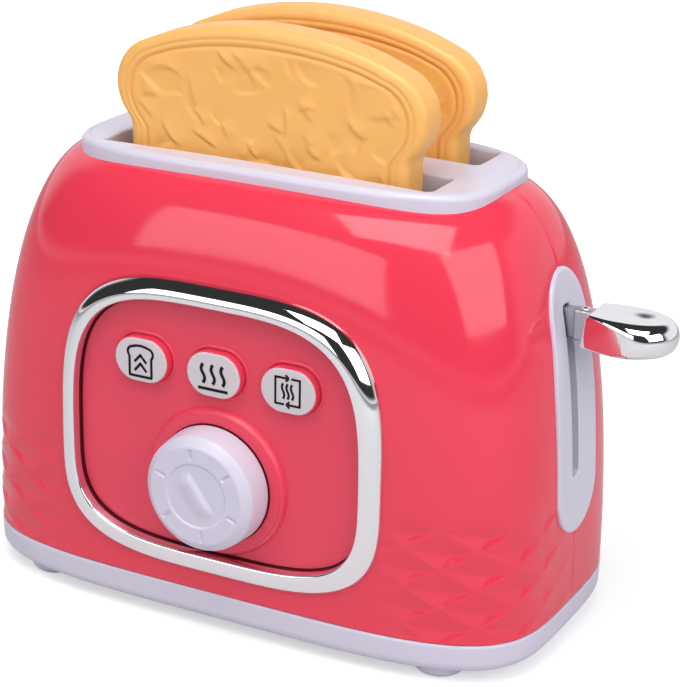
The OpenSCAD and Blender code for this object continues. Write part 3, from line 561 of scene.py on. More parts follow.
class TOASTER_OT_shells(bpy.types.Operator):
    """Make the two moulded shells with their seam, facets and openings"""

    bl_idname = "toaster.shells"
    bl_label = "Shells"

    def execute(self, context):
        for side in ("front", "rear"):
            obj = piece(f"{side}_skin", shell_half(side == "front"), "housing", "coral_gloss", [f"{side}_shell"])
            wall = obj.modifiers.new("Wall", "SOLIDIFY")
            wall.thickness = context.scene.toaster_sizes.shell_wall
            wall.offset = -1.0
        return {"FINISHED"}


def screw_collar(px, pz):
    """Collar round a screw hole: rings of growing radius that lie on the rear face, after the hole's deep end."""
    turn = circle(48)
    radius = np.array([3.1, 3.1, 3.2, 3.45, 4.0, 4.8, 5.3, 5.6])[:, None]
    lift = np.array([0, -0.4, 0.1, 0.3, 0.36, 0.3, 0.12, -0.5])[:, None]
    x, z = px + radius * np.cos(turn), pz + radius * np.sin(turn)
    y = front_at(x, z) + lift
    y[0] = 14.5
    return stack(xyz(x, y, z)[:, ::-1])


class TOASTER_OT_collars(bpy.types.Operator):
    """Make the collars round the screw holes at the back"""

    bl_idname = "toaster.collars"
    bl_label = "Screw collars"

    def execute(self, context):
        parts = [screw_collar(px, pz) for px, pz in SCREW_PLACES]
        piece("screw_collars", join(parts), "housing", "coral_gloss", sharp=50)
        return {"FINISHED"}


BASE_ROUND, BASE_PROUD = 4, 0.06
FOOT_X = 72.0


def base_band():
    """Outer band of the base: ovals drawn in along a round at the bottom and under the shells at the top."""
    bend = quarter(13)
    low = BASE_LOW[2]
    inset = column([14.0, 8.0], BASE_ROUND * (1 - np.sin(bend)) * 0.9 + 0.2, [0.1, 0.0, 0.0, 0.12, 0.45, 1.6])
    height = column([low, low], low + BASE_ROUND * (1 - np.cos(bend)),
                    BASE_TOP - np.array([3.0, 1.4, 0.7, 0.25, 0.07, 0.05]))
    x, y = oval(BASE_HIGH[0] - inset + BASE_PROUD, BASE_HIGH[1] - inset + BASE_PROUD, PLAN_POWER_LOW, circle(360))
    return stack(xyz(x, y, height - 0.04 * (inset > 3)))


def feet():
    """Four round feet: a flat end, a quarter round and a short wall, turned about Z."""
    radius, tall = FEET_HIGH[0] - FOOT_X, FEET_HIGH[2]
    foot_y = FEET_HIGH[1] - radius
    dome = 0.75 * tall
    bend, turn = quarter(16), circle(64)
    r = column([0.02], radius - dome + dome * np.sin(bend), [radius, radius + 0.5])
    z = column([0.0], dome - dome * np.cos(bend), [tall - 0.3, tall + 0.05])
    return join([stack(xyz(i * FOOT_X + r * np.cos(turn), j * foot_y + r * np.sin(turn), z), cap_first=True)
                 for i in (-1, 1) for j in (-1, 1)])


class TOASTER_OT_base(bpy.types.Operator):
    """Make the base's outer band and its four feet"""

    bl_idname = "toaster.base"
    bl_label = "Base and feet"

    def execute(self, context):
        piece("base_band", base_band(), "housing", "lavender_satin", sharp=50)
        piece("foot_pads", feet(), "housing", "lavender_satin", ["feet"])
        return {"FINISHED"}


# Bezel


def crown(x):
    """Height of the bezel's top at x: a parabola one millimetre lower at the ends."""
    return BEZEL_TOP - (x / (BEZEL_L / 2)) ** 2


def slot_loop(inset):
    """Rounded rectangle of the rear slot, from its right end, counter-clockwise."""
    l, w = SLOT_L / 2 + inset, SLOT_W / 2 + inset
    path = np.concatenate([[[l, 0]], rounded(l, w, SLOT_CORNER + inset, 12)])
    return resample(path, 320) + np.array([0, SLOT_PITCH / 2])


def half_frame(inset):
    """Half of the bezel's outline closed by the middle line, matched to the slot loop by direction from the slot."""
    a, b = BEZEL_L / 2 - inset, BEZEL_W / 2 - inset
    rim = np.stack(oval(a, b, BEZEL_POWER, np.linspace(0, np.pi, 600)), -1)
    back = np.stack([np.linspace(-a, a, 400), np.zeros(400)], -1)
    x, y = slot_loop(0).T
    at = np.arctan2((y - SLOT_PITCH / 2) / (SLOT_W / 2), x / (SLOT_L / 2))
    return by_direction(np.concatenate([rim, back]), SLOT_PITCH / 2, (BEZEL_L / 2, BEZEL_W / 4), at)


def bezel_half():
    """Slot wall, its rounded lip and the crowned top out to the outline: loops blended from the slot to the frame."""
    lip = mm("slot_round")
    loops = []
    for depth, back in ((25.0, 0.6), (16.0, 0.6), (7.1, 0.6), (7.0, 0.0), (4.0, 0.0)):
        loops.append(xyz(*slot_loop(back).T, BEZEL_TOP - depth))
    for b in quarter(7):
        x, y = slot_loop(lip * (1 - np.cos(b))).T
        loops.append(xyz(x, y, crown(x) - lip * (1 - np.sin(b))))
    inner, outer = slot_loop(lip), half_frame(mm("bezel_round"))
    for t in np.linspace(0, 1, 14)[1:]:
        x, y = (inner + (outer - inner) * t).T
        loops.append(xyz(x, y, crown(x)))
    return np.stack(loops)


def bezel_wall():
    """Outer wall of the bezel: the outline inset along a quarter round at the top, then straight down."""
    edge, bend = mm("bezel_round"), quarter(10)
    inset = column([0.0, 0.0], edge * (1 - np.cos(bend)), [edge + 0.3])
    drop = column([10.0, 5.0], edge * (1 - np.sin(bend)), [0.0])
    x, y = oval(BEZEL_L / 2 - inset, BEZEL_W / 2 - inset, BEZEL_POWER, circle(480))
    return stack(xyz(x, y, crown(x) - drop))


class TOASTER_OT_bezel(bpy.types.Operator):
    """Make the top bezel with its two bread slots"""

    bl_idname = "toaster.bezel"
    bl_label = "Top bezel"

    def execute(self, context):
        rear = bezel_half()
        front = (rear * np.array([1, -1, 1]))[:, ::-1]
        piece("bezel_skin", join([stack(rear), stack(front), bezel_wall()]), "housing", "lavender_satin",
              ["top_bezel"], sharp=50)
        return {"FINISHED"}


# Front panel

RING_BAND, RING_CREST = 6.5, 5.3
DIAL_BACK, DIAL_FACE = 2.8, 13.8


def ring_skin():
    """Trim ring: from a foot that lies on the shell, over a quarter round, to a flat crest and down to the panel."""
    angle, bend = circle(360), quarter(25)
    top = PANEL_Y - RING_LOW[1]
    foot = np.maximum(front_at(*ring_point(angle, 0.0)) + PANEL_Y, -2.2)
    inset = column([0.3, 0.0], RING_CREST * (1 - np.cos(bend)),
                   [5.75, 6.1, 6.35, RING_BAND, RING_BAND, RING_BAND - 2.5])
    share = column([0, 0], np.sin(bend) ** 1.24, np.ones(6))
    lift = column([-0.6, 0.1], np.full(25, 0.25), np.zeros(6))
    drop = column(np.zeros(27), [0, 0.12, 0.4, 0.9, top - 0.2, top - 0.2])
    height = (foot + lift) * (1 - share) + top * share - drop
    x, z = ring_point(angle, inset)
    return stack(xyz(x, PANEL_Y - height, z)[:, ::-1])


def ring_gap():
    """Painted shade in the gap between ring and panel: a dark narrow strip on the panel that turns up along the ring's
    inner wall.
    """
    inset, height = np.array([(7.0, 0.04), (6.58, 0.06), (6.56, 0.3), (6.54, 1.3)]).T[..., None]
    x, z = ring_point(circle(360), inset)
    return stack(xyz(x, PANEL_Y - height, z))


class TOASTER_OT_ring(bpy.types.Operator):
    """Make the bright trim ring round the panel and the painted shade in the gap inside it"""

    bl_idname = "toaster.ring"
    bl_label = "Trim ring"

    def execute(self, context):
        piece("ring_gap", ring_gap(), "housing", "coral_gap", sharp=40)
        piece("ring_skin", ring_skin(), "housing", "bright_plating", ["trim_ring"], sharp=60)
        return {"FINISHED"}


def round_dial(r, forward, turn):
    """Skin over circles about the dial's axis, by radius and by height over the panel."""
    return stack(xyz(r * np.cos(turn), PANEL_Y - forward, DIAL_Z + r * np.sin(turn)))


def dial_face(r, turn):
    """Height of the dial's face at radius r and angle turn.

    The flat face has a shallow round recess with a groove at its edge. A short pointer bar lies across it with a long
    soft slope on one side and a steep drop on the other, and fades towards its ends. Six ticks are engraved round it,
    every 60 degrees.
    """
    tilt = math.radians(126)
    along, across = r * np.cos(turn - tilt), -r * np.sin(turn - tilt)
    crest = 1 - ease(4.2, 8.6, np.abs(along))
    bar = np.where(across < 0.2, ease(-5.6, 0.2, across), 1 - ease(0.8, 2.9, across)) * crest
    edge = ease(9.4, 10.8, r)
    groove = 0.22 * np.exp(-((r - 10.2) / 0.4) ** 2)
    height = (DIAL_FACE - 0.4 + 0.95 * bar) * (1 - edge) + DIAL_FACE * edge - groove
    step = math.radians(60)
    near = np.mod(turn - math.radians(98) + step / 2, step) - step / 2
    tick = np.hypot(np.maximum(np.abs(r * np.cos(near) - 13.6) - 1.15, 0), r * np.sin(near)) - 0.58
    return height - 0.45 * (1 - ease(-0.25, 0.15, tick))


def dial_skin():
    """Dial: from its back over the wall and a bevelled rim, then the face."""
    turn = circle(480)
    wall = [(3.0, 0), (19.2, 0), (19.5, 0.15), (19.6, 0.6), (19.55, 2.0), (19.2, 6.0)]
    rim = [(18.98, 2.75), (18.85, 2.4), (18.6, 2.1), (17.6, 1.25), (16.7, 0.45), (16.45, 0.25), (16.2, 0.12),
           (15.9, 0.03)]
    outside = np.array([(r, DIAL_BACK + up) for r, up in wall] + [(r, DIAL_FACE - down) for r, down in rim])
    inside = np.linspace(15.7, 0.03, 110)[:, None]
    height = np.concatenate([np.repeat(outside[:, 1:], len(turn), 1), dial_face(inside, turn)])
    return round_dial(np.concatenate([outside[:, :1], inside]), height, turn)


class TOASTER_OT_dial(bpy.types.Operator):
    """Make the dial with its rim, ticks and pointer bar, and the collar and the painted shade in the gap behind it"""

    bl_idname = "toaster.dial"
    bl_label = "Dial"

    def execute(self, context):
        turn = circle(96)
        collar = np.array([(24.7, -0.05), (24.55, 0.5), (24.2, 1.2), (23.7, 1.85), (23.0, 2.3), (22.2, 2.46),
                           (20.6, 2.46), (19.0, 2.44), (12.0, 2.44)]).T[..., None]
        # Painted shade: a dark ring on the collar's top where it meets the dial.
        gap = np.array([(20.0, 2.47), (19.2, 2.49)]).T[..., None]
        piece("dial_collar", round_dial(*collar, turn), "housing", "coral_satin", sharp=60)
        piece("dial_gap", round_dial(*gap, turn), "housing", "coral_gap")
        piece("dial_skin", dial_skin(), "dial", "lavender_satin", ["timer_knob"], sharp=45)
        return {"FINISHED"}


# Push buttons

BUTTONS = (("left", -1), ("middle", 0), ("right", 1))
BUTTON_PITCH, BUTTON_Z, BUTTON_W, BUTTON_H, BUTTON_PROUD = 26.2, 88.8, 19.4, 14.8, 2.8
LABEL_W, LABEL_H = 18.8, 14.2
CAP_ROUND, LABEL_ROUND = 0.45, 0.4


def oblong_rows(i, width, height, inset, forward):
    """Stadium loops about the middle of button i, each drawn in by its inset and moved forward from the panel."""
    half = (width - height) / 2
    rows = []
    for d, f in zip(inset, forward):
        r = height / 2 - d
        x, z = resample(np.concatenate([arc((half, 0), r, -90, 90, 40), arc((-half, 0), r, 90, 270, 40)]), 96).T
        rows.append(xyz(x + i * BUTTON_PITCH, PANEL_Y - f, z + BUTTON_Z))
    return rows


def cap_skin(i):
    """Button cap: oblong loops drawn in along a rounded front edge, then a shallow seat for the label."""
    bend, seat = quarter(9), BUTTON_PROUD - 0.4
    inset = np.concatenate([[0, 0], CAP_ROUND * (1 - np.cos(bend)), CAP_ROUND + np.array([0.02, 0.04, 3])])
    forward = np.concatenate([[-2.2, -0.5], BUTTON_PROUD - CAP_ROUND * (1 - np.sin(bend)), [BUTTON_PROUD, seat, seat]])
    return stack(oblong_rows(i, BUTTON_W, BUTTON_H, inset, forward), cap_first=True, cap_last=True)


def seat_skin(i):
    """Low rim on the panel round a button: oblong loops from its foot over a round top and down into the hole."""
    inset = [-1.4, -1.25, -0.9, -0.5, -0.25, -0.14, -0.14]
    forward = [-0.05, 0.12, 0.24, 0.26, 0.18, 0.0, -2.0]
    return stack(oblong_rows(i, BUTTON_W, BUTTON_H, inset, forward))


def label_skin(i):
    """Label: a thin oblong plate with a rounded edge and a slightly crowned face."""
    bend = quarter(6)
    inset = np.concatenate([[0], LABEL_ROUND * (1 - np.cos(bend)), [1.5, 3.5, 6.0]])
    forward = np.concatenate([[-0.4], 0.3 - LABEL_ROUND * (1 - np.sin(bend)), [0.32, 0.34, 0.35]]) + BUTTON_PROUD
    return stack(oblong_rows(i, LABEL_W, LABEL_H, inset, forward), cap_last=True)


def stroke(path, width, at, closed=False):
    """Flat ribbon of ink along a path on a label's face, in the label's own x and y."""
    ahead = np.roll(path, -1, 0) - path if closed else np.gradient(path, axis=0)
    if closed:
        ahead = ahead + np.roll(ahead, 1, 0)
    ahead /= np.linalg.norm(ahead, axis=1, keepdims=True) + 1e-9
    side = np.stack([-ahead[:, 1], ahead[:, 0]], -1) * width / 2
    rows = np.stack([path - side, path + side], 0)
    if closed:
        rows = np.concatenate([rows, rows[:, :1]], 1)
    grid = xyz(rows[..., 0] + at, PANEL_Y - BUTTON_PROUD - 0.4, rows[..., 1] + BUTTON_Z)
    return grid.reshape(-1, 3), grid_faces(*rows.shape[:2]).tolist()


def line(a, b, step=0.25):
    """Points along a straight run."""
    a, b = np.array(a), np.array(b)
    return a + (b - a) * np.linspace(0, 1, max(2, int(np.hypot(*(b - a)) / step)))[:, None]


def wave(x, low, high, swing):
    """Upright wave of one full sine."""
    t = np.linspace(0, 1, 40)
    return np.stack([x + swing * np.sin(t * 2 * np.pi), low + (high - low) * t], -1)


def signs(i):
    """Plain signs: a slice with two chevrons, rising heat over a line, and a frame with arrows round rising heat."""
    at = i * BUTTON_PITCH
    if i < 0:
        outline = np.concatenate([
            [[-4.0, -5.3], [-4.0, 0.9]], arc((-2.75, 2.4), 1.85, 215, 118, 10), arc((0, -3.0), 7.8, 110, 70, 14),
            arc((2.75, 2.4), 1.85, 62, -35, 10), [[4.0, 0.9], [4.0, -5.3]]])
        made = [stroke(resample(outline, 200), 0.88, at, True)]
        for low, high in ((-0.7, 1.95), (-3.6, -0.85)):
            made += [stroke(line((-2.2, low), (0.25, high)), 0.9, at), stroke(line((-0.25, high), (2.2, low)), 0.9, at)]
    elif i == 0:
        made = [stroke(wave(x, -2.9, 3.5, 0.6), 1.12, at) for x in (-3.5, 0.0, 3.5)]
        made.append(stroke(line((-5.3, -4.6), (5.3, -4.6)), 1.0, at))
    else:
        made = [stroke(wave(x, -2.5, 2.5, 0.4), 0.8, at) for x in (-1.54, 0.0, 1.54)]
        side, end, corner = 4.2, 4.25, 4.52
        for s in (-1, 1):
            runs = (line((s * side, s * end), (s * side, -s * end)), line((s * corner, -s * end), (s * 0.2, -s * end)),
                    line((s * corner, s * end), (s * 1.2, s * end)))
            heads = [line((s * 0.7, t - s * end), (-s * 0.45, -s * end)) for t in (-1.05, 1.05)]
            made += [stroke(run, 0.75, at) for run in runs] + [stroke(head, 0.7, at) for head in heads]
    return join(made)


class TOASTER_OT_buttons(bpy.types.Operator):
    """Make the three push buttons with their labels and plain signs, and the rims round them"""

    bl_idname = "toaster.buttons"
    bl_label = "Push buttons"

    def execute(self, context):
        for side, i in BUTTONS:
            body = f"{side}_button"
            piece(f"cap_{side}", cap_skin(i), body, "coral_satin", [f"button_{side}"], sharp=50)
            piece(f"label_{side}", label_skin(i), body, "label_grey", [f"button_label_{side}"], sharp=50)
            piece(f"sign_{side}", signs(i), body, "sign_ink")
        piece("button_seats", join([seat_skin(i) for _, i in BUTTONS]), "housing", "coral_satin")
        return {"FINISHED"}


# Lever

LEVER_TRAVEL = 45
NECK_W, NECK_H, NECK_CORNER = 2.2, 4.8, 0.7
GUIDE_LOW, GUIDE_HIGH, GUIDE_W = LEVER_Z - NECK_H - LEVER_TRAVEL - 0.4, LEVER_Z + NECK_H + 0.4, 5.4
PADDLE_WIDE, PADDLE_THICK, PADDLE_DISH = 11.0, 11.0, 0.9
PADDLE_ROOT, PADDLE_TIP = HANDLE_HIGH[0] - 28.0, HANDLE_HIGH[0]


def guide_plate():
    """Guide plate on the shell's end: loops blended from the slot to a stadium narrowed at the top, slightly dished."""
    at = circle(360)

    def edge(inset):
        r = PLATE_W / 2 - inset
        top, low = PLATE_HIGH - PLATE_W / 2, PLATE_LOW + PLATE_W / 2
        path = resample(np.concatenate([arc((0, top), r, 0, 180, 80), arc((0, low), r, 180, 360, 80)]), 2000)
        path[:, 0] *= 1 - 0.15 * ease(80, 116, path[:, 1])
        return by_direction(path, (PLATE_LOW + PLATE_HIGH) / 2, (PLATE_W / 2, (PLATE_HIGH - PLATE_LOW) / 2), at)

    def slot(grown):
        middle = (GUIDE_LOW + GUIDE_HIGH) / 2
        w, h = GUIDE_W / 2 + grown, (GUIDE_HIGH - GUIDE_LOW) / 2 + grown
        return by_direction(resample(rounded(w, h, 1.4 + grown, 8, middle), 6000), middle, (w, h), at)

    def place(path, out):
        y, z = path.T
        return xyz(half_w(z) + out, y, z)

    inner, near, rim = slot(0), slot(0.6), edge(1.6)
    loops = [place(inner, out) for out in (-5.45, -2.55, -0.45)]
    for b in quarter(6):
        loops.append(place(inner + (near - inner) * (1 - np.cos(b)), 0.05 - 0.6 * (1 - np.sin(b))))
    for t in np.linspace(0, 1, 12)[1:]:
        loops.append(place(near + (rim - near) * t, 0.05 + 0.75 * t ** 2.5))
    for b in quarter(7):
        loops.append(place(edge(1.1 * (1 - np.sin(b))), 0.82 - 0.55 * (1 - np.cos(b))))
    loops.append(place(edge(0), -2.5))
    return stack(loops)


def paddle():
    """Thumb paddle: a plan outline that widens in straight lines from a flat root to a round tip, with a dished top.

    Its edge is a quarter round of radius r, drawn in by r (1 - cos a) and raised to t/2 - r + r sin a, and r grows
    from the root to the tip. The root is cut at a slant.
    """
    root, long, half = PADDLE_ROOT, PADDLE_TIP - PADDLE_ROOT, PADDLE_THICK / 2
    tip = arc((PADDLE_TIP - PADDLE_WIDE, 0), PADDLE_WIDE, -103, 103, 90)
    flat = [[root + 0.3, 7.3], [root, 6.9], [root, -6.9], [root + 0.3, -7.3]]
    outline = smooth(resample(np.concatenate([tip, flat]), 440), 3)
    centre = np.array([root + 15.0, 0])
    away = outline - centre
    reach = np.linalg.norm(away, axis=1)
    share = (outline[:, 0] - root) / long
    top = 1.5 + 3.8 * ease(0.2, 0.8, share)
    low = 0.9 + 4.4 * ease(0.3, 0.85, share)

    def ring(drawn, z, dish=0.0):
        x, y = (centre + away * (1 - drawn / reach)[:, None]).T
        part = (x - root) / long
        bowl = dish * np.exp(-((part - 0.62) / 0.18) ** 2 - (y / 3.8) ** 2)
        slant = (1.4 * z / PADDLE_THICK + 0.2) * (1 - ease(0, 0.35, part))
        return xyz(x + slant, y, LEVER_Z + z - bowl)

    bend, inner = quarter(13), np.linspace(0, 0.96, 14)[1:]
    rows = [ring(low + (reach - low) * k, -half) for k in inner[::-1]]
    rows += [ring(low * (1 - np.cos(a)), low - half - low * np.sin(a)) for a in bend[::-1]]
    rows += [ring(top * (1 - np.cos(a)), half - top + top * np.sin(a), PADDLE_DISH * np.sin(a) ** 6) for a in bend]
    rows += [ring(top + (reach - top) * k, half, PADDLE_DISH) for k in inner]
    return stack(rows, cap_first=True, cap_last=True)


def neck():
    """Stem of the lever: a rounded rectangle carried along X, with a step up to the paddle's root."""
    y, z = rounded(NECK_W, NECK_H, NECK_CORNER, 5).T
    stations = ((HANDLE_LOW[0], 0.97, 0.97), (PADDLE_ROOT - 4.6, 0.97, 0.97), (PADDLE_ROOT - 4.4, 1.0, 1.0),
                (PADDLE_ROOT - 4.2, 1.12, 1.03), (PADDLE_ROOT + 5.0, 1.12, 1.03))
    return stack([xyz(x, y * w, LEVER_Z + z * h) for x, w, h in stations], cap_first=True, cap_last=True)


def neck_pin(radius, height, count):
    """Upright pin on the neck's top near the root: loops of the given radii and heights, round or square by count."""
    turn = circle(count) + np.pi / count
    r, lift = np.array([radius, height])[..., None]
    return stack(xyz(PADDLE_ROOT - 1.7 + r * np.cos(turn), r * np.sin(turn), LEVER_Z + 4.9 + lift), cap_last=True)


class TOASTER_OT_lever(bpy.types.Operator):
    """Make the guide plate, the lever's neck and its bright thumb paddle"""

    bl_idname = "toaster.lever"
    bl_label = "Lever and guide plate"

    def execute(self, context):
        piece("guide_skin", guide_plate(), "housing", "lavender_satin", ["lever_guide"], sharp=50)
        piece("paddle_skin", paddle(), "carriage", "bright_plating", ["lever_handle"], sharp=60)
        piece("neck_skin", neck(), "carriage", "drawn_steel", sharp=40)
        pin = neck_pin([1.5, 1.5, 1.4, 1.2], [-0.6, 0.15, 0.3, 0.35], 32)
        piece("neck_pin", pin, "carriage", "bright_plating", sharp=60)
        # Painted shade: a dark square in the pin's top stands for the shade in its hole.
        socket = neck_pin([0.85, 0.85], [-0.4, 0.38], 4)
        piece("pin_socket", socket, "carriage", "sign_ink", sharp=30)
        return {"FINISHED"}


# Bread

SLICE_WIDE, SLICE_STEM, SLICE_TALL = 109.0, 98.0, SLICE_HIGH[2] - SLICE_LOW[2] + 0.7
CROWN_R, CROWN_DROP, SLICE_FOOT, SLICE_FILLET = 15.0, 22.8, 5.0, 4.0
RIM_WIDE, FACE_REACH, FACE_LEVEL = 4.2, 49.0, -0.08


def slice_outline(count):
    """Slice outline x, z: flat foot with round corners, straight stem, fillet, round crown corners and arched top."""
    cx, cz = SLICE_WIDE / 2 - CROWN_R, SLICE_TALL - CROWN_DROP
    fx = SLICE_STEM / 2 + SLICE_FILLET
    fz = cz - math.sqrt((CROWN_R + SLICE_FILLET) ** 2 - (fx - cx) ** 2)
    meet = math.degrees(math.atan2(fz - cz, fx - cx))
    low = CROWN_DROP - CROWN_R
    arch_r = (cx ** 2 + low ** 2) / (2 * low) + 20
    arch = math.degrees(math.asin(cx * 0.95 / arch_r))
    right = np.concatenate([
        arc((SLICE_STEM / 2 - SLICE_FOOT, SLICE_FOOT), SLICE_FOOT, -90, 0, 14),
        arc((fx, fz), SLICE_FILLET, 180, 180 + meet, 14),
        arc((cx, cz), CROWN_R, meet, 66, 40),
        arc((0, SLICE_TALL - arch_r), arch_r, 90 - arch, 90, 60),
    ])
    left = right[::-1] * np.array([-1, 1])
    return smooth(resample(np.concatenate([right, left[1:]]), count), 6)


def crumb_creases(x, z, seed):
    """Creases on a slice's face: their relief and the painted shade along them.

    Each crease is a short bowed line at its own slant. The face stands up by e^(-d/3.4) beside it on one side, dips
    by a part of that on the other, and the step fades out towards the line's ends.
    """
    rng = np.random.default_rng(seed)
    across, up = np.meshgrid(np.arange(-46, 47, 9.2), np.arange(4, 100, 8))
    count = across.size
    middle = np.stack([across.ravel(), up.ravel()], -1) + rng.uniform(-5.5, 5.5, (count, 2))
    slant = np.radians(rng.choice([-40, -32, -48, 55, 8, -75], count) + rng.uniform(-12, 12, count))
    half = rng.uniform(2.2, 5.2, count)
    bow = rng.uniform(-0.1, 0.1, count)
    strong = rng.uniform(0.5, 1.2, count) * rng.choice([-1, 1, 1], count)
    dx, dz = x[..., None] - middle[:, 0], z[..., None] - middle[:, 1]
    t = dx * np.cos(slant) + dz * np.sin(slant)
    d = dz * np.cos(slant) - dx * np.sin(slant) - bow * t ** 2
    fade = np.exp(-(t / half) ** 4)
    side = ease(-0.8, 0.8, d)
    high = np.exp(-np.maximum(d, 0) / 3.4) * side
    dip = -0.4 * np.exp(-np.abs(d) / 1.6) * (1 - side)
    relief = (strong * fade * (high + dip)).sum(-1)
    # Painted shade along each crease.
    painted_crease_shade = (np.abs(strong) * fade * np.exp(-(d / 0.8) ** 2)).max(-1)
    return relief, painted_crease_shade


def slice_skin(y_mid, seed):
    """Slice: outline rings drawn in from the rounded crust edge, over two grooves, to a face with creases."""
    outline = slice_outline(520)
    thick = SLICE_HIGH[1] - SLICE_LOW[1]
    centre = np.array([0.0, 58.0])
    reach = np.linalg.norm(outline - centre, axis=1)
    edge, bend = mm("crust_round"), quarter(10)
    rim = edge + RIM_WIDE
    crust = np.array([(0.25, -0.16), (0.5, -0.18), (0.8, -0.1), (1.2, 0.0), (1.7, 0.0), (2.1, -0.1), (2.5, -0.36),
                      (2.8, -0.5), (3.1, -0.36), (3.5, -0.14), (RIM_WIDE, FACE_LEVEL)])
    inside = np.linspace(rim, FACE_REACH, 64)[1:]
    inset = column(edge * (1 - np.cos(bend)), edge + crust[:, 0], inside)
    level = column(-edge * 0.62 * (1 - np.sin(bend)) + FACE_LEVEL * np.sin(bend) ** 12, crust[:, 1],
                   np.full(len(inside), FACE_LEVEL))
    tail = np.clip((inset - rim) / (FACE_REACH - rim), 0, 1)
    share = np.where(tail > 0, (1 - np.minimum(rim, reach) / reach) * (1 - tail) + 0.003,
                     1 - np.minimum(inset, reach * 0.999) / reach)
    x, z = np.moveaxis(centre + (outline - centre) * share[..., None], -1, 0)
    within = ease(rim - 0.8, rim + 2.5, inset)
    # Painted shade: the grooves near the edge and the creases take the crust colour.
    groove = np.exp(-((inset - edge - 2.75) / 0.6) ** 2) + 0.4 * np.exp(-((inset - edge - 0.4) / 0.4) ** 2)
    loops, hollow = [], []
    for face, order in ((-1, -1), (1, 1)):
        relief, painted_crease_shade = crumb_creases(x, z, seed + (face > 0))
        lift = np.minimum(level + within * mm("crumb_relief") * relief, 0.45)
        loops.append(xyz(x, y_mid + face * (thick / 2 + lift), z + SLICE_LOW[2])[::order])
        hollow.append((within * painted_crease_shade * 0.3 + groove * 0.4)[::order])
    made = stack(np.concatenate(loops)[:, ::-1], cap_first=True, cap_last=True)
    return made, np.concatenate([np.concatenate(hollow)[:, ::-1].ravel(), [0, 0]])


class TOASTER_OT_slices(bpy.types.Operator):
    """Make the two play slices with crust, grooves and crumb"""

    bl_idname = "toaster.slices"
    bl_label = "Play slices"

    def execute(self, context):
        seed = context.scene.toaster_sizes.crumb_seed
        for side, sign, more in (("front", -1, 0), ("rear", 1, 10)):
            made, hollow = slice_skin(sign * SLOT_PITCH / 2, seed + more)
            piece(f"slice_{side}", made, f"{side}_slice", "toast_plastic", [f"bread_slice_{side}"], hollow=hollow)
        return {"FINISHED"}


class TOASTER_OT_finishes(bpy.types.Operator):
    """Give the solids that still show their finish"""

    bl_idname = "toaster.finishes"
    bl_label = "Finishes of the solids"

    def execute(self, context):
        by_slot = {"coral_shell": "coral_satin", "pale_trim": "lavender_satin", "bright_trim": "bright_plating",
                   "steel": "drawn_steel", "bread": "toast_plastic", "inner_grey": "inner_dark"}
        slot_of = {s["node"]: s["material_slot"] for s in frame["record"]["subparts"]}
        for name, node in frame["nodes"].items():
            node.data.materials.clear()
            node.data.materials.append(finish(by_slot[slot_of[name]]))
        return {"FINISHED"}


# Stage

PHOTO_HIGH = 687
CAMERA_PLACE = (0.3199, -0.5837, 0.3299)
CAMERA_RIGHT = (0.8835, 0.4681, 0.0167)
CAMERA_BACK = (0.4336, -0.8309, 0.3489)
BOX_AWAY, BOX_AIM = 1.3, 0.1
FLOOR_HALF = 6


def aim(obj, place, right, back):
    """Puts a camera or light in the scene, so that it looks away from back and its x runs along right."""
    back = np.array(back) / np.linalg.norm(back)
    right = right - back * np.dot(right, back)
    right = right / np.linalg.norm(right)
    turned = np.stack([right, np.cross(back, right), back], 1)
    obj.matrix_world = Matrix.Translation(place) @ Matrix(turned.tolist()).to_4x4()
    bpy.context.scene.collection.objects.link(obj)


def soft_box(name, turn, lift, wide, tall, radiance, lights=True, mirrored=True):
    """Soft box by its bearing from -Y towards +X and its elevation in degrees, sizes in metres.

    A flat light of area A that shines with radiance L has the power pi L A. A card is seen in reflections only, a
    fill lights without a reflection.
    """
    data = bpy.data.lights.new(name, "AREA")
    data.shape = "RECTANGLE"
    data.size, data.size_y = wide, tall
    data.energy = math.pi * radiance * wide * tall
    obj = bpy.data.objects.new(name, data)
    obj.visible_diffuse = lights
    obj.visible_glossy = mirrored
    a, e = math.radians(turn), math.radians(lift)
    back = np.array([math.sin(a) * math.cos(e), -math.cos(a) * math.cos(e), math.sin(e)])
    aim(obj, (BOX_AWAY * back + np.array([0, 0, BOX_AIM])).tolist(), np.cross((0, 0, 1), back), back)


def between(tree, start, stop, low=0.0, high=1.0):
    """Smooth step node from low at start to high at stop."""
    if start > stop:
        start, stop, low, high = stop, start, high, low
    sockets = {"From Min": start, "From Max": stop, "To Min": low, "To Max": high}
    return add(tree, "MapRange", sockets, interpolation_type="SMOOTHSTEP")


def floor_finish():
    """Pale floor that keeps the shadow near the toy and turns white, for the camera only, further out."""
    made = bpy.data.materials.new("floor_pale")
    made.use_nodes = True
    tree = made.node_tree
    shader = tree.nodes["Principled BSDF"]
    fill(shader, {"Base Color": (0.62, 0.62, 0.63, 1), "Roughness": 0.9})
    place = add(tree, "TexCoord")
    far = add(tree, "VectorMath", operation="LENGTH")
    grow = between(tree, 0.12, 0.36, low=0.5)
    path = add(tree, "LightPath")
    seen = add(tree, "Math", operation="MULTIPLY")
    mirrored = add(tree, "Math", {1: 0.04}, operation="MULTIPLY_ADD")
    glow = add(tree, "Emission", {"Color": (1, 1, 1, 1)})
    both = add(tree, "AddShader")
    wire(tree, (place, "Object", far, 0), (far, "Value", grow, "Value"), (grow, "Result", seen, 0),
         (path, "Is Camera Ray", seen, 1), (path, "Is Glossy Ray", mirrored, 0), (seen, 0, mirrored, 2),
         (mirrored, 0, glow, "Strength"), (shader, 0, both, 0), (glow, 0, both, 1),
         (both, 0, tree.nodes["Material Output"], "Surface"))
    return made


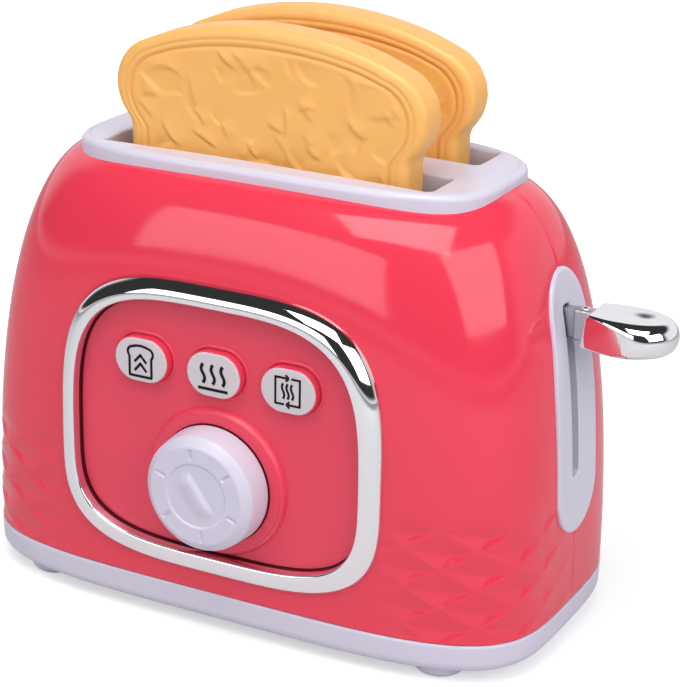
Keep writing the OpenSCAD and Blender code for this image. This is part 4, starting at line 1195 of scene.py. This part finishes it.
def sky(stage):
    """World: light that grows upwards, a dark room with a pale wall in reflections, and white for the camera."""
    world = bpy.data.worlds.new("sky")
    world.use_nodes = True
    tree = world.node_tree
    light = tree.nodes["Background"]
    fill(light, {"Color": (0.96, 0.97, 1.0, 1)})
    climb = add(tree, "MapRange", {"To Min": 0.35 * stage.sky_strength, "To Max": 2.4 * stage.sky_strength})
    room = add(tree, "Background", {"Strength": 1.0})
    white = add(tree, "Background", {"Color": (1, 1, 1, 1), "Strength": 1.0})
    way = add(tree, "TexCoord")
    part = add(tree, "SeparateXYZ")
    ground = between(tree, 0.06, -0.02)
    behind = between(tree, 0.0, 0.35)
    under = between(tree, 0.7, 0.5)
    screen = add(tree, "Math", operation="MULTIPLY")
    pale = add(tree, "Math", operation="MAXIMUM")
    wall = add(tree, "Mix", {6: (*[stage.sky_mirrored] * 3, 1), 7: (0.92, 0.92, 0.95, 1)}, data_type="RGBA")
    path = add(tree, "LightPath")
    mirrored = add(tree, "MixShader")
    mix = add(tree, "MixShader")
    wire(tree, (way, "Generated", part, 0), (part, "Z", climb, "Value"), (climb, "Result", light, "Strength"),
         (part, "Z", ground, "Value"), (part, "Y", behind, "Value"), (part, "Z", under, "Value"),
         (behind, "Result", screen, 0), (under, "Result", screen, 1), (ground, "Result", pale, 0),
         (screen, 0, pale, 1), (pale, 0, wall, 0), (wall, 2, room, "Color"),
         (path, "Is Glossy Ray", mirrored, 0), (light, 0, mirrored, 1), (room, 0, mirrored, 2),
         (path, "Is Camera Ray", mix, 0), (mirrored, 0, mix, 1), (white, 0, mix, 2),
         (mix, 0, tree.nodes["World Output"], "Surface"))
    return world


class TOASTER_OT_stage(bpy.types.Operator):
    """Make the floor, the lights, the sky and the camera"""

    bl_idname = "toaster.stage"
    bl_label = "Studio"

    def execute(self, context):
        scene = context.scene
        stage = scene.toaster_stage
        scene.view_settings.view_transform = "Standard"

        data = bpy.data.cameras.new("camera")
        data.sensor_fit = "VERTICAL"
        data.sensor_height = 36.0
        data.lens = stage.focal_pixels * data.sensor_height / PHOTO_HIGH
        data.clip_start, data.clip_end = 0.05, 20
        scene.camera = bpy.data.objects.new("camera", data)
        aim(scene.camera, CAMERA_PLACE, CAMERA_RIGHT, CAMERA_BACK)

        floor_mesh = bpy.data.meshes.new("floor")
        corners = [(i * FLOOR_HALF, j * FLOOR_HALF, 0) for i, j in ((-1, -1), (1, -1), (1, 1), (-1, 1))]
        floor_mesh.from_pydata(corners, [], [(0, 1, 2, 3)])
        floor = bpy.data.objects.new("floor", floor_mesh)
        scene.collection.objects.link(floor)
        floor_mesh.materials.append(floor_finish())

        scene.world = sky(stage)
        glow = stage.box_radiance
        soft_box("front_card", -19, 20, 1.0, 0.66, glow, lights=False)
        soft_box("front_fill", -32, 32, 1.0, 0.9, 0.42 * glow, mirrored=False)
        soft_box("side_box", 65, 30, 1.05, 0.87, 1.2 * glow)
        soft_box("top_card", 18, 63, 0.9, 0.75, 1.9 * glow, lights=False)
        soft_box("top_fill", 0, 68, 0.9, 0.9, 1.45 * glow, mirrored=False)
        return {"FINISHED"}


class TOASTER_PT_panel(bpy.types.Panel):
    """Lists the pieces of the toaster"""

    bl_idname = "TOASTER_PT_panel"
    bl_label = "Toaster"
    bl_space_type = "VIEW_3D"
    bl_region_type = "UI"
    bl_category = "Toaster"

    def draw(self, context):
        rows = self.layout.column(align=True)
        for operator in OPERATORS:
            rows.operator(operator.bl_idname)
        for key in GROUPS:
            group = getattr(context.scene, key)
            box = self.layout.box()
            for name in group.bl_rna.properties.keys():
                if name not in ("rna_type", "name"):
                    box.prop(group, name)


OPERATORS = (
    TOASTER_OT_finishes,
    TOASTER_OT_shells,
    TOASTER_OT_collars,
    TOASTER_OT_base,
    TOASTER_OT_bezel,
    TOASTER_OT_ring,
    TOASTER_OT_dial,
    TOASTER_OT_buttons,
    TOASTER_OT_lever,
    TOASTER_OT_slices,
    TOASTER_OT_stage,
)
GROUPS = {"toaster_sizes": ToasterSizes, "toaster_colours": ToasterColours, "toaster_stage": ToasterStage}
CLASSES = (*GROUPS.values(), *OPERATORS, TOASTER_PT_panel)


def register():
    for item in CLASSES:
        bpy.utils.register_class(item)
    for name, group in GROUPS.items():
        setattr(bpy.types.Scene, name, PointerProperty(type=group))


def unregister():
    for name in GROUPS:
        delattr(bpy.types.Scene, name)
    for item in reversed(CLASSES):
        bpy.utils.unregister_class(item)


def main():
    register()
    bpy.ops.toaster.finishes()
    bpy.ops.toaster.shells()
    bpy.ops.toaster.collars()
    bpy.ops.toaster.base()
    bpy.ops.toaster.bezel()
    bpy.ops.toaster.ring()
    bpy.ops.toaster.dial()
    bpy.ops.toaster.buttons()
    bpy.ops.toaster.lever()
    bpy.ops.toaster.slices()
    bpy.ops.toaster.stage()
    bpy.context.view_layer.update()


if __name__ == "__main__":
    main()
